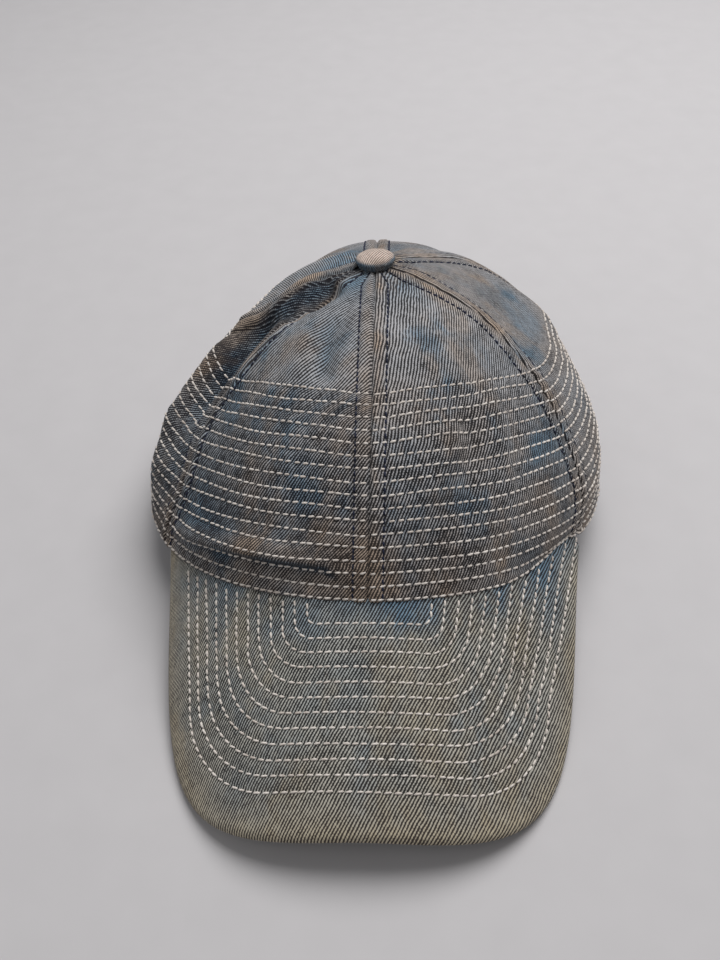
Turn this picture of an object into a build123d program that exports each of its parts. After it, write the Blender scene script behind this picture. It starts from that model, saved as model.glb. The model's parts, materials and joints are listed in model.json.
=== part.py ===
"""Six-panel denim baseball cap with a curved bill and a strap-and-buckle size adjuster.

Everything is modelled in the cap's own frame, in millimetres: the hem lies in the plane z = 0, the crown rises
along +Z, the bill points along -Y and the wearer's left is +X. At the end the whole cap is tipped back onto the
surface it rests on, so that it stands on the two front corners of the bill and on the hem beside the rear
opening, and it is moved so that the origin is at the bottom centre of its bounding box.
"""
from math import asin, atan2, cos, degrees, exp, hypot, pi, radians, sin, sqrt
import os

from build123d import *

# ---- driving dimensions, mm and degrees ----
HEM_HALF_WIDTH = 91.0          # hem oval, 577 mm round: a 58 cm head
HEM_HALF_LENGTH = 92.5
CROWN_HEIGHT = 81.5            # hem plane to the flat top, along the cap's own axis
TOP_BACK = 18.8                # the top sits this far behind the middle of the hem
TOP_LEFT = 1.3
WALL_RISE = 0.75               # handles of the crown's profile curve: how straight the wall rises,
WALL_SHOULDER = 0.885          # how far it has drawn in at that height,
TOP_FLATNESS = 0.575           # and how far out the top stays flat
SAG_ANGLE = 180.0              # the soft crown has sunk in on the wearer's right
SAG_SPREAD = 54.0
SAG_IN = 0.095
SAG_DOWN = 12.7

DENIM = 1.2                    # crown cloth with its seam allowances
SEAM_GAP = 0.06                # degrees between neighbouring panels
POLE_RADIUS = 3.0              # hole left where the six panel tips meet
PANEL_SPAN = 60.0

BILL_SLOPE = 28.0              # the bill's centre line below the hem plane
BILL_REACH = 74.0              # along that slope, from the crown to the front edge
BILL_HALF_WIDTH = 79.0         # flat pattern: half width of the rounded outline,
BILL_FLARE = 6.5               # and how much wider it is at the two root corners
BILL_ROOT_BACK = 50.0          # root corners, behind the front of the crown
BILL_SQUARE_ACROSS = 2.7       # exponents of the outline, 2 and 2 make an ellipse
BILL_SQUARE_ALONG = 3.6
BILL_ARCH = 96.0               # arch radius at the crown; it tightens towards the front
BILL_ARCH_TIGHTENS = 0.073
BILL_RISE = 8.8                # middle of the bill's root above the hem plane
BILL_COVER = 0.9
BILL_BOARD = 2.0
BILL_TUCK = 3.6                # the bill's root runs this far in under the hem
BOARD_INSET = 0.03             # of the way from root to edge, at each end
HEM_CLEARANCE = 0.5

SWEATBAND_INSET = 5.5          # from the crown's outer face, round the front and sides
SWEATBAND_REAR_INSET = 7.4     # and at the back, where the strap lies outside it
SWEATBAND_THICKNESS = 0.8
SWEATBAND_HEIGHT = 32.0
TAPE_INSET = 1.4
TAPE_THICKNESS = 0.5
TAPE_HALF_WIDTH = 6.0
TAPE_TOP_RADIUS = 13.0
CENTRE_TAPE_INSET = 2.7
CENTRE_TAPE_HALF_WIDTH = 8.0

OPENING_HALF_WIDTH = 43.0      # rear opening at the hem
OPENING_HEIGHT = 52.0
FACING_WIDTH = 7.0
FACING_THICKNESS = 0.5

STRAP_OUTSIDE = 84.4           # radius about the strap's own axis, the hem's centre of curvature at the back
STRAP_THICKNESS = 1.2
STRAP_WIDTH = 20.0
STRAP_LOW = 3.0
STRAP_TAIL, STRAP_ROOT = 50.0, 128.0        # angles about the strap's axis, from +X

BUCKLE_ANGLE = 78.0
BUCKLE_LENGTH = 17.0
BUCKLE_PLATE = 0.75
BUCKLE_DEPTH = 4.6
EAR = 0.8
EAR_CLEARANCE = 0.5
PIN_RADIUS = 0.7
PIN_S, PIN_N = 2.8, 2.9
BAR_RADIUS = 0.8
BAR_S = 7.1
LEVER_THICKNESS = 0.9
LEVER_BARREL = 1.6
LEVER_TIP = 8.6
LEVER_CAM = 0.3
RUNNING_CLEARANCE = 0.06
TAB_END = 57.5
TAB_THICKNESS = 0.8
TAB_GAP = 0.3
TAB_LOOP_LENGTH = 6.0

BUTTON_RADIUS = 7.6
BUTTON_HEIGHT = 5.0
BUTTON_LEAN = 2.5
BUTTON_LIFT = 0.35
REST_TILT = 9.2                # how far the front is tipped up when the cap rests on a table

HEM_CURVATURE = HEM_HALF_WIDTH**2 / HEM_HALF_LENGTH
STRAP_AXIS_Y = HEM_HALF_LENGTH - HEM_CURVATURE
STRAP_MIDDLE_Z = STRAP_LOW + STRAP_WIDTH / 2
BILL_STACK = BILL_BOARD / 2 + BILL_COVER
TAB_N = STRAP_THICKNESS / 2 + TAB_GAP          # the tab's inner face, out from the middle of the strap
BAR_N = TAB_N + TAB_THICKNESS + BAR_RADIUS + 0.1


# ---- crown surface ----
def bill_arch_radius(v):
    """Arch radius at v, the distance forward of the crown along the bill's slope."""
    return BILL_ARCH - BILL_ARCH_TIGHTENS * max(v, -60.0)


def bill_height(x, y, lift):
    """Height above the hem plane, over the point (x, y), of a face lifted off the middle of the bill."""
    slope = radians(BILL_SLOPE)
    v = -(y + HEM_HALF_LENGTH) / cos(slope)
    radius = bill_arch_radius(v)
    level = sqrt(1 - (x / radius) ** 2)
    return BILL_RISE - v * sin(slope) - radius * (1 - level) + lift / (level * cos(slope))


def smooth_step(value):
    value = min(max(value, 0.0), 1.0)
    return value * value * (3 - 2 * value)


def hem_height(angle):
    """The hem is flat at the sides and back, and rides on top of the bill at the front."""
    facing = -sin(radians(angle))
    if facing <= 0:
        return 0.0
    x = (HEM_HALF_WIDTH - DENIM) * cos(radians(angle))
    y = (HEM_HALF_LENGTH - DENIM) * sin(radians(angle))
    return bill_height(x, y, BILL_STACK + HEM_CLEARANCE) * smooth_step((facing - 0.15) / 0.3)


def crown_outside(angle, rise):
    """Point of the crown's outer face: angle in degrees from +X, rise from 0 at the hem to 1 at the top."""
    low, high = 1 - rise, rise
    reach = low**3 + 3 * low**2 * high * WALL_SHOULDER + 3 * low * high**2 * TOP_FLATNESS
    up = 3 * low**2 * high * WALL_RISE + 3 * low * high**2 + high**3
    off = (angle - SAG_ANGLE + 180.0) % 360.0 - 180.0
    sag = exp(-((off / SAG_SPREAD) ** 2)) * sin(pi * rise) ** 2
    reach *= 1 - SAG_IN * sag
    x = HEM_HALF_WIDTH * cos(radians(angle)) * reach + TOP_LEFT * up
    y = HEM_HALF_LENGTH * sin(radians(angle)) * reach + TOP_BACK * up
    return Vector(x, y, hem_height(angle) * (1 - up) + CROWN_HEIGHT * up - SAG_DOWN * sag)


def crown_point(angle, rise, depth=0.0):
    """Point at a depth inside the crown's outer face, measured square to it."""
    if depth == 0:
        return crown_outside(angle, rise)
    step = 1e-3
    around = crown_outside(angle + 1, rise) - crown_outside(angle - 1, rise)
    upward = crown_outside(angle, min(rise + step, 1)) - crown_outside(angle, max(rise - step, 0))
    return crown_outside(angle, rise) - around.cross(upward).normalized() * depth


def rise_where(reached):
    """Smallest rise at which the test holds, found by halving."""
    low, high = 0.0, 1.0
    for _ in range(30):
        middle = (low + high) / 2
        low, high = (low, middle) if reached(middle) else (middle, high)
    return high


def rise_at_radius(angle, radius):
    top = crown_outside(angle, 1)
    return rise_where(lambda rise: (crown_outside(angle, rise) - top).length < radius)


def rise_at_height(angle, height):
    return rise_where(lambda rise: crown_outside(angle, rise).Z > hem_height(angle) + height)


# ---- cloth ----
def between(start, end, count):
    return [start + (end - start) * i / (count - 1) for i in range(count)]


def cloth(inner_rows, outer_rows):
    """Closed solid between two grids of points of the same size: a front, a back and four narrow edges."""
    front = Face.make_surface_from_array_of_points(outer_rows, tol=0.02, min_deg=3, max_deg=3)
    back = Face.make_surface_from_array_of_points(inner_rows, tol=0.02, min_deg=3, max_deg=3)
    edges = []
    for edge in front.edges():
        partner = min(back.edges(), key=lambda other: (other.center() - edge.center()).length)
        edges.append(Face.make_surface_from_curves(edge, partner))
    solid = Solid(Shell([front, back, *edges]))
    return solid if solid.volume > 0 else Solid(solid.wrapped.Reversed())


def crown_cloth(angles, rises_at, near, far):
    """Cloth that follows the crown: rises_at(angle) lists the rises from its bottom to its top edge."""
    grids = [[[crown_point(a, r, depth) for r in rises_at(a)] for a in angles] for depth in (far, near)]
    return cloth(*grids)


def rear_arch(grow=0.0):
    """Cutter for the rear opening: a tall half oval seen from behind, running through the back of the crown."""
    half, height = OPENING_HALF_WIDTH + grow, OPENING_HEIGHT + grow
    with BuildPart() as cutter:
        with BuildSketch(Plane.XZ):
            Ellipse(half, height)
            with Locations((0, -10)):
                Rectangle(2 * half, 20)
        extrude(amount=-2 * HEM_HALF_LENGTH)
    return cutter.part


def panel(middle):
    """One of the six crown panels, middle being the angle of its centre line."""
    half = PANEL_SPAN / 2 - SEAM_GAP
    top = rise_at_radius(middle, POLE_RADIUS)
    angles = between(middle - half, middle + half, 13)
    solid = crown_cloth(angles, lambda angle: between(0, top, 17), 0.0, DENIM)
    return solid - rear_arch() if sin(radians(middle)) > 0.5 else solid


def rear_facing():
    """Narrow tape inside the crown round the rear opening."""
    near, far = TAPE_INSET, TAPE_INSET + FACING_THICKNESS
    top = rise_at_height(90, OPENING_HEIGHT + 2 * FACING_WIDTH)
    band = crown_cloth(between(45, 135, 19), lambda angle: between(0.02, top, 13), near, far)
    return (band & rear_arch(FACING_WIDTH)) - rear_arch(0.3)


def side_seam_tape(seam):
    """Tape behind one of the four side seams, of constant width."""
    def point(across, rise, depth):
        spot = crown_point(seam, rise)
        swing = degrees(across / hypot(spot.X, spot.Y - TOP_BACK * spot.Z / CROWN_HEIGHT))
        return crown_point(seam + swing, rise, depth)

    low, high = rise_at_height(seam, SWEATBAND_HEIGHT + 2), rise_at_radius(seam, TAPE_TOP_RADIUS)
    widths, rises = between(-TAPE_HALF_WIDTH, TAPE_HALF_WIDTH, 5), between(low, high, 13)
    far, near = TAPE_INSET + TAPE_THICKNESS, TAPE_INSET
    return cloth(*([[point(w, r, depth) for r in rises] for w in widths] for depth in (far, near)))


def centre_seam_tape():
    """Tape behind the front-to-back seam, from the sweatband over the top to the rear opening."""
    def line(depth):
        start = rise_at_height(-90, SWEATBAND_HEIGHT + 2)
        end = rise_at_height(90, OPENING_HEIGHT + FACING_WIDTH + 2)
        front = [crown_point(-90, rise, depth) for rise in between(start, 0.97, 12)]
        back = [crown_point(90, rise, depth) for rise in between(0.97, end, 9)]
        return front + back

    widths = between(-CENTRE_TAPE_HALF_WIDTH, CENTRE_TAPE_HALF_WIDTH, 4)
    depths = (CENTRE_TAPE_INSET + TAPE_THICKNESS, CENTRE_TAPE_INSET)
    return cloth(*([[spot + Vector(w, 0, 0) for spot in line(depth)] for w in widths] for depth in depths))


def sweatband():
    """Band inside the hem, from one side of the rear opening round the front to the other."""
    end = degrees(asin(OPENING_HALF_WIDTH / HEM_HALF_WIDTH)) + 2
    angles = between(90 + end - 360, 90 - end, 49)
    grids = []
    for thickness in (SWEATBAND_THICKNESS, 0):
        rows = []
        for angle in angles:
            rear = smooth_step((sin(radians(angle)) - 0.2) / 0.4)
            inset = SWEATBAND_INSET + (SWEATBAND_REAR_INSET - SWEATBAND_INSET) * rear + thickness
            top = rise_at_height(angle, SWEATBAND_HEIGHT)
            rows.append([crown_point(angle, rise, inset) for rise in between(0.01, top, 5)])
        grids.append(rows)
    return cloth(*grids)


# ---- bill ----
def bill_point(u, v, lift):
    """Point of the bent bill: u across and v forward on the flat pattern, lift above its middle."""
    def middle(u, v):
        radius, slope = bill_arch_radius(v), radians(BILL_SLOPE)
        drop = radius * (1 - cos(u / radius))
        y = -HEM_HALF_LENGTH - v * cos(slope)
        return Vector(radius * sin(u / radius), y, BILL_RISE - v * sin(slope) - drop)

    across = middle(u + 0.1, v) - middle(u - 0.1, v)
    forward = middle(u, v + 0.1) - middle(u, v - 0.1)
    return middle(u, v) + forward.cross(across).normalized() * lift


def bill_front(count):
    """Flat pattern of the free edge, evenly spaced from the wearer's right root corner to the left one."""
    side, length = [], BILL_ROOT_BACK + BILL_REACH
    for turn in between(0, pi / 2, 80):
        along = sin(turn) ** (2 / BILL_SQUARE_ALONG)
        across = BILL_HALF_WIDTH * cos(turn) ** (2 / BILL_SQUARE_ACROSS) + BILL_FLARE * (1 - along) ** 3
        side.append((-across, length * along - BILL_ROOT_BACK))
    return evenly(side + [(-u, v) for u, v in reversed(side[:-1])], count)


def bill_root(count):
    """Flat pattern of the sewn edge, which follows the hem a little inside it."""
    points = []
    for angle in between(-150, -30, 40):
        x = (HEM_HALF_WIDTH - BILL_TUCK) * cos(radians(angle))
        y = (HEM_HALF_LENGTH - BILL_TUCK) * sin(radians(angle))
        v = -(y + HEM_HALF_LENGTH) / cos(radians(BILL_SLOPE))
        points.append((bill_arch_radius(v) * asin(x / bill_arch_radius(v)), v))
    return evenly(points, count)


def evenly(points, count):
    """The same polyline with its points at equal distances."""
    lengths = [0.0]
    for a, b in zip(points, points[1:]):
        lengths.append(lengths[-1] + hypot(b[0] - a[0], b[1] - a[1]))
    result, i = [], 0
    for target in between(0, lengths[-1], count):
        while i < len(points) - 2 and lengths[i + 1] < target:
            i += 1
        part = (target - lengths[i]) / (lengths[i + 1] - lengths[i])
        result.append(tuple(p + (q - p) * part for p, q in zip(points[i], points[i + 1])))
    return result


def bill_layer(low, high, start=0.0, end=1.0):
    """One layer of the bill between two heights, from start to end of the way from root to free edge."""
    across, forward = 41, 9
    root, front = bill_root(across), bill_front(across)

    def grid(lift):
        rows = []
        for inner, outer in zip(root, front):
            spots = [(inner[0] + (outer[0] - inner[0]) * k, inner[1] + (outer[1] - inner[1]) * k)
                     for k in between(start, end, forward)]
            rows.append([bill_point(u, v, lift) for u, v in spots])
        return rows

    return cloth(grid(low), grid(high))


# ---- button ----
def turned(profile):
    """Solid turned about +Z from a closed profile of (radius, height) points."""
    with BuildPart() as part:
        with BuildSketch(Plane.XZ):
            with BuildLine():
                Polyline(*profile, close=True)
            make_face()
        revolve(axis=Axis.Z)
    return part.part


def dome(radius, height, skirt, count=9):
    """Outline of a low dome over a short upright skirt, from the centre out and down to the skirt's foot."""
    arc = [(radius * sin(t), skirt + (height - skirt) * cos(t)) for t in between(0, pi / 2, count)]
    return arc + [(radius, 0)]


def button():
    """Cloth-covered button on the crown's top: cover, shell and rivet."""
    seat = Location((TOP_LEFT, TOP_BACK, CROWN_HEIGHT + BUTTON_LIFT)) * Rotation(0, -BUTTON_LEAN, 0)
    wall, lip = 0.7, 4.5
    cover = turned(
        dome(BUTTON_RADIUS, BUTTON_HEIGHT, 2.0)
        + [(lip, 0), (lip, 0.5), (BUTTON_RADIUS - wall, 0.5)]
        + list(reversed(dome(BUTTON_RADIUS - wall, BUTTON_HEIGHT - wall, 1.9)[:-1]))
    )
    inner = BUTTON_RADIUS - wall - 0.05
    shell = turned(
        dome(inner, BUTTON_HEIGHT - wall - 0.05, 1.9)[:-1]
        + [(inner, 0.55), (inner - 0.5, 0.55)]
        + list(reversed(dome(inner - 0.5, BUTTON_HEIGHT - wall - 0.55, 1.7)[:-1]))
    )
    rivet = turned(
        [(0, BUTTON_HEIGHT - wall - 0.65), (2.6, BUTTON_HEIGHT - wall - 0.9), (2.6, 2.6), (1.3, 2.2), (1.3, -1.9),
         (4.6, -1.9), (4.6, -2.5), (0, -2.5)]
    )
    return {"button_cover": seat * cover, "button_shell": seat * shell, "button_rivet": seat * rivet}


# ---- strap and buckle ----
def band(inside, outside, low, high, start, end):
    """Piece of a cylinder's wall about the strap's axis, between two angles."""
    with BuildPart() as part:
        with BuildSketch(Plane.XZ.rotated((0, 0, start))):
            with Locations(((inside + outside) / 2, (low + high) / 2)):
                Rectangle(outside - inside, high - low)
        revolve(axis=Axis.Z, revolution_arc=end - start)
    return Location((0, STRAP_AXIS_Y, 0)) * part.part


def strap():
    return band(
        STRAP_OUTSIDE - STRAP_THICKNESS, STRAP_OUTSIDE, STRAP_LOW, STRAP_LOW + STRAP_WIDTH, STRAP_TAIL, STRAP_ROOT
    )


def buckle_place():
    """Buckle frame: X along the strap towards the wearer's left, Y outwards, Z up, at the strap's middle."""
    turn = radians(BUCKLE_ANGLE)
    reach = STRAP_OUTSIDE - STRAP_THICKNESS / 2
    spot = (reach * cos(turn), STRAP_AXIS_Y + reach * sin(turn), STRAP_MIDDLE_Z)
    return Location(spot, (0, 0, BUCKLE_ANGLE - 90))


def upright(radius, half_height, s, n):
    return Location((s, n, 0)) * Cylinder(radius, 2 * half_height)


def box(s_low, s_high, n_low, n_high, half_height, z=0.0):
    centre = ((s_low + s_high) / 2, (n_low + n_high) / 2, z)
    return Location(centre) * Box(s_high - s_low, n_high - n_low, 2 * half_height)


def buckle():
    """Clamping buckle: frame with two ears and a fixed bar, hinge pin, lever with a cam, and the cloth tab."""
    half = STRAP_WIDTH / 2
    inner, outer = half + EAR_CLEARANCE, half + EAR_CLEARANCE + EAR
    end, floor = BUCKLE_LENGTH / 2, -STRAP_THICKNESS / 2 - 0.65
    frame = box(-end, end, floor - BUCKLE_PLATE, floor, outer)
    for side in (-1, 1):
        frame += box(-end, end, floor - BUCKLE_PLATE, BUCKLE_DEPTH, EAR / 2, side * (inner + EAR / 2))
    ear_edges = frame.edges().filter_by(Axis.Z).group_by(Axis.Y)[-1]
    frame = fillet(ear_edges, 1.5)
    frame += upright(BAR_RADIUS, outer, BAR_S, BAR_N)
    frame -= upright(PIN_RADIUS + 0.02, outer + 1, PIN_S, PIN_N)
    pin = upright(PIN_RADIUS, outer + 0.3, PIN_S, PIN_N)

    hand = inner - 0.25
    lever = upright(LEVER_BARREL, hand, PIN_S, PIN_N)
    lever += box(-LEVER_TIP, PIN_S, BUCKLE_DEPTH - 1.0 - LEVER_THICKNESS, BUCKLE_DEPTH - 1.0, hand)
    lever += box(PIN_S - 0.7, PIN_S + 0.7, PIN_N - LEVER_BARREL - LEVER_CAM, PIN_N, half - 1)
    lever -= upright(PIN_RADIUS + RUNNING_CLEARANCE, hand + 1, PIN_S, PIN_N)

    place = buckle_place()
    return {"buckle_frame": place * frame, "buckle_pin": place * pin, "buckle_lever": place * lever}


def buckle_tab():
    """Cloth tab sewn behind the wearer's left back panel and looped round the buckle's fixed bar."""
    half = STRAP_WIDTH / 2 - 0.5
    low, high = STRAP_MIDDLE_Z - half, STRAP_MIDDLE_Z + half
    place = buckle_place()
    bar = (place * Location((BAR_S, BAR_N, 0))).position
    bar_angle = degrees(atan2(bar.Y - STRAP_AXIS_Y, bar.X))
    hole = BAR_RADIUS + 0.1
    inside = STRAP_OUTSIDE + TAB_GAP
    tab = band(inside, inside + TAB_THICKNESS, low, high, TAB_END, bar_angle)
    tab += place * upright(hole + TAB_THICKNESS, half, BAR_S, BAR_N)
    with BuildPart() as fold:
        with BuildSketch(Plane.XY.offset(-half)):
            with BuildLine():
                Polyline((BAR_S, TAB_N), (BAR_S + TAB_LOOP_LENGTH, TAB_N - 0.1),
                         (BAR_S + TAB_LOOP_LENGTH, TAB_N + TAB_THICKNESS),
                         (BAR_S + 0.6, BAR_N + hole + TAB_THICKNESS - 0.1), close=True)
            make_face()
        extrude(amount=2 * half)
    tab += place * fold.part
    return tab - place * upright(hole, half + 1, BAR_S, BAR_N)


# ---- assembly ----
PANELS = {
    "front_panel_left": -60, "front_panel_right": -120, "side_panel_left": 0, "side_panel_right": 180,
    "back_panel_left": 60, "back_panel_right": 120,
}
SIDE_SEAMS = {
    "seam_tape_front_left": -30, "seam_tape_front_right": -150, "seam_tape_back_left": 30,
    "seam_tape_back_right": 150,
}


def pieces():
    """Every separate piece of the cap, by node name, in the cap's own frame."""
    made = {name: panel(angle) for name, angle in PANELS.items()}
    made.update({name: side_seam_tape(angle) for name, angle in SIDE_SEAMS.items()})
    made["seam_tape_centre"] = centre_seam_tape()
    made["rear_opening_facing"] = rear_facing()
    made["sweatband"] = sweatband()
    made["bill_top_cover"] = bill_layer(BILL_BOARD / 2 + 0.02, BILL_STACK)
    made["bill_board"] = bill_layer(-BILL_BOARD / 2, BILL_BOARD / 2, BOARD_INSET, 1 - BOARD_INSET)
    made["bill_under_cover"] = bill_layer(-BILL_STACK, -BILL_BOARD / 2 - 0.02)
    made.update(button())
    made["strap"] = strap()
    made.update(buckle())
    made["buckle_tab"] = buckle_tab()
    return made


def resting_place(made):
    """Tips the cap back onto its bill corners and rear hem, with the origin at the bottom centre of its box."""
    tipped = Rotation(-REST_TILT, 0, 0)
    box = Compound([tipped * shape for shape in made.values()]).bounding_box()
    centre = box.center()
    return Location((-centre.X, -centre.Y, -box.min.Z)) * tipped


def main():
    os.makedirs("parts", exist_ok=True)
    made = pieces()
    rest = resting_place(made)
    for name, shape in made.items():
        export_step(rest * shape, f"parts/{name}.step")
    return made, rest


if __name__ == "__main__":
    main()
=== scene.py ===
"""Looks of a six-panel washed denim baseball cap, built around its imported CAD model.

Shapes are worked out in the cap's own frame, in millimetres and degrees, as the CAD does: the hem lies in
the plane z = 0, the crown rises along +Z, the bill points along -Y and the wearer's left is +X. Every mesh
passes through to_row(), which tips the cap onto its table and turns millimetres into metres.

A place on the crown is (angle, arc): the angle about it from +X, and the distance up the cloth from the hem.
A place on the bill is (u, v): across and forward on its flat pattern, v = 0 at the front of the crown.
"""
import json
from math import asin, atan2, cos, degrees, pi, radians, sin

import bpy
import numpy as np
from mathutils import Matrix, Vector


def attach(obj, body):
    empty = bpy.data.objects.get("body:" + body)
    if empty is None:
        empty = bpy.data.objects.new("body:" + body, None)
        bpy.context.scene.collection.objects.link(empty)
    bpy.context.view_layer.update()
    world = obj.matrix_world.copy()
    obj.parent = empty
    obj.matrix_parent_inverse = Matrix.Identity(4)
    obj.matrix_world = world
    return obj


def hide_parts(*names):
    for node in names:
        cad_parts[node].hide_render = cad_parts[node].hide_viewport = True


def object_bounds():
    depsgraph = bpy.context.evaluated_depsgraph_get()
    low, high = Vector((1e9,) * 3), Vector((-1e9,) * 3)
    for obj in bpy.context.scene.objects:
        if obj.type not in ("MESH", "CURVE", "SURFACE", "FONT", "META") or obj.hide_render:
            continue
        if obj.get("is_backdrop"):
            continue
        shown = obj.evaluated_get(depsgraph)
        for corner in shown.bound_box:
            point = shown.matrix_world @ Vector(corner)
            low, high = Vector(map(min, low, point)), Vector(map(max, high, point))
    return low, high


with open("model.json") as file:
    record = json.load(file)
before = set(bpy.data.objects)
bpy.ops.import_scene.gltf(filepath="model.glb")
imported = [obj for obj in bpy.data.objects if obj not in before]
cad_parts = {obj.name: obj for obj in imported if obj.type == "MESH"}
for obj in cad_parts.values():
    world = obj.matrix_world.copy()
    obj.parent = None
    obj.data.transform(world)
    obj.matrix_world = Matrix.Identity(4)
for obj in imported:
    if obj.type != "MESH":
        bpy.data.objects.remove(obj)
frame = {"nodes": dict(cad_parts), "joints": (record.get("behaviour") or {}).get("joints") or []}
CAD_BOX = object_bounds()
RNG = np.random.default_rng(7)
MILLIMETRE = 0.001

# ---- the cap's sizes, as in the CAD ----
HEM_HALF_WIDTH, HEM_HALF_LENGTH, CROWN_HEIGHT = 91.0, 92.5, 81.5
TOP_BACK, TOP_LEFT = 18.8, 1.3
WALL_RISE, WALL_SHOULDER, TOP_FLATNESS = 0.75, 0.885, 0.575
SAG_ANGLE, SAG_SPREAD, SAG_IN, SAG_DOWN = 180.0, 54.0, 0.095, 12.7
PANEL_SPAN = 60.0
ARC_STEPS = 241                # places in the table that turns arc into rise
BILL_SLOPE, BILL_REACH, BILL_ROOT_BACK = radians(28.0), 74.0, 50.0
BILL_HALF_WIDTH, BILL_SQUARE_ACROSS, BILL_SQUARE_ALONG = 79.0, 2.7, 3.6
BILL_FLARE, BILL_FLARE_LEFT = 6.5, 2.8              # wider at the root, and more so on the wearer's left
BILL_ARCH, BILL_ARCH_TIGHTENS, BILL_RISE, BILL_TUCK = 96.0, 0.073, 8.8, 3.6
BILL_STACK, BILL_COVER = 1.9, 0.9
SWEATBAND_INSET, SWEATBAND_REAR_INSET, SWEATBAND_HEIGHT = 5.5, 7.4, 32.0
OPENING_HALF_WIDTH, OPENING_HEIGHT, FACING_WIDTH = 43.0, 52.0, 7.0
STRAP_AXIS_Y = HEM_HALF_LENGTH - HEM_HALF_WIDTH**2 / HEM_HALF_LENGTH
STRAP_OUTSIDE, STRAP_THICKNESS, STRAP_WIDTH, STRAP_LOW = 84.4, 1.2, 20.0, 3.0
STRAP_TAIL, STRAP_ROOT = 50.0, 128.0
STRAP_ROWS = (0.12, 0.88)      # shares of the strap's width
BUCKLE_ANGLE, BAR_S, BAR_RADIUS, TAB_END, TAB_THICKNESS, TAB_GAP = 78.0, 7.1, 0.8, 57.5, 0.8, 0.3
BUTTON_RADIUS, BUTTON_HEIGHT, BUTTON_RIM, BUTTON_LEAN, BUTTON_LIFT = 7.6, 5.0, 2.0, 2.5, 0.35

# ---- how the soft crown has moved off its even shape ----
BACK_SEAM, FRONT_SEAM = 150.0, 210.0    # angles of the seams beside the right side panel
DRIFT_FROM = 116.0             # the cloth behind the back right seam has drifted from this angle on
# Degrees that the back right seam has gone forward, from which arc, and over how much more of it.
PLEAT, PLEAT_FROM, PLEAT_RISE = 42.0, 14.0, 88.0
# Degrees that the front right seam has gone forward, at which arc, and how far round that arc.
PULL, PULL_ARC, PULL_SPREAD = 4.6, 26.0, 20.0
HEM_TUCK, HEM_TUCK_ANGLE, HEM_TUCK_SPREAD = 4.2, -37.0, 15.0
# Broad bumps: angle, arc, spread of each, and height.
SLUMP = [(-12, 22, 34, 17, 3.0), (-8, 84, 36, 20, -3.2)]

# ---- cloth and thread ----
DENIM = 1.05
SEAM_TO_STITCH = 5.0           # navy topstitching, each side of a seam
ROWS = 17                      # cream rows round the crown
FIRST_ROW = 0.9
BILL_ROWS = 12
BILL_ROW_HALF_WIDTH, BILL_ROW_STEP = 19.4, 4.1
BILL_ROW_DEPTH, BILL_ROW_DEPTH_STEP = 6.0, 4.87
BILL_ROW_CORNER, BILL_ROW_CORNER_STEP = 3.0, 2.8
BILL_ROW_SPACING = 4.8
BILL_ROW_BEND = 0.0025                 # the rows' fronts bend back by this times the square of u
BILL_FAN = {-1: 0.0020, 1: 0.0046}     # rows fan out towards the crown, more on the wearer's left
BILL_FAN_FROM = 18.0
SEAM_RIDGE, SEAM_VALLEY, STITCH_DIP = 0.55, 0.7, 0.35
ROW_DIP, ROW_SPACING, ROW_PUCKER = 0.45, 4.4, 0.17
ROWS_CLEAR_OF_OPENING = 7.5
HIDDEN_IN_FOLD, RIGHT_STITCHING_END = -1.6, 58      # where the navy stitches are left out: depth, and arc
TAPE_CLOTH_THICKNESS, TAPE_BEHIND = 0.45, DENIM + 0.25
SWEATBAND_ROWS = (28.0, 2.2)
STITCH_RINGS, STITCH_SIDES, STITCH_SLANT = 5, 6, 0.09
RIB_STRETCH = {"front_panel_right": 0.22}           # share by which the ribs are wider above the rows

PANELS = {
    "front_panel_left": -60, "front_panel_right": -120, "side_panel_left": 0, "side_panel_right": 180,
    "back_panel_left": 60, "back_panel_right": 120,
}
TAPED_SEAMS = {
    "seam_tape_front_left": -30, "seam_tape_front_right": -150, "seam_tape_back_left": 30,
    "seam_tape_back_right": 150,
}

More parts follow.
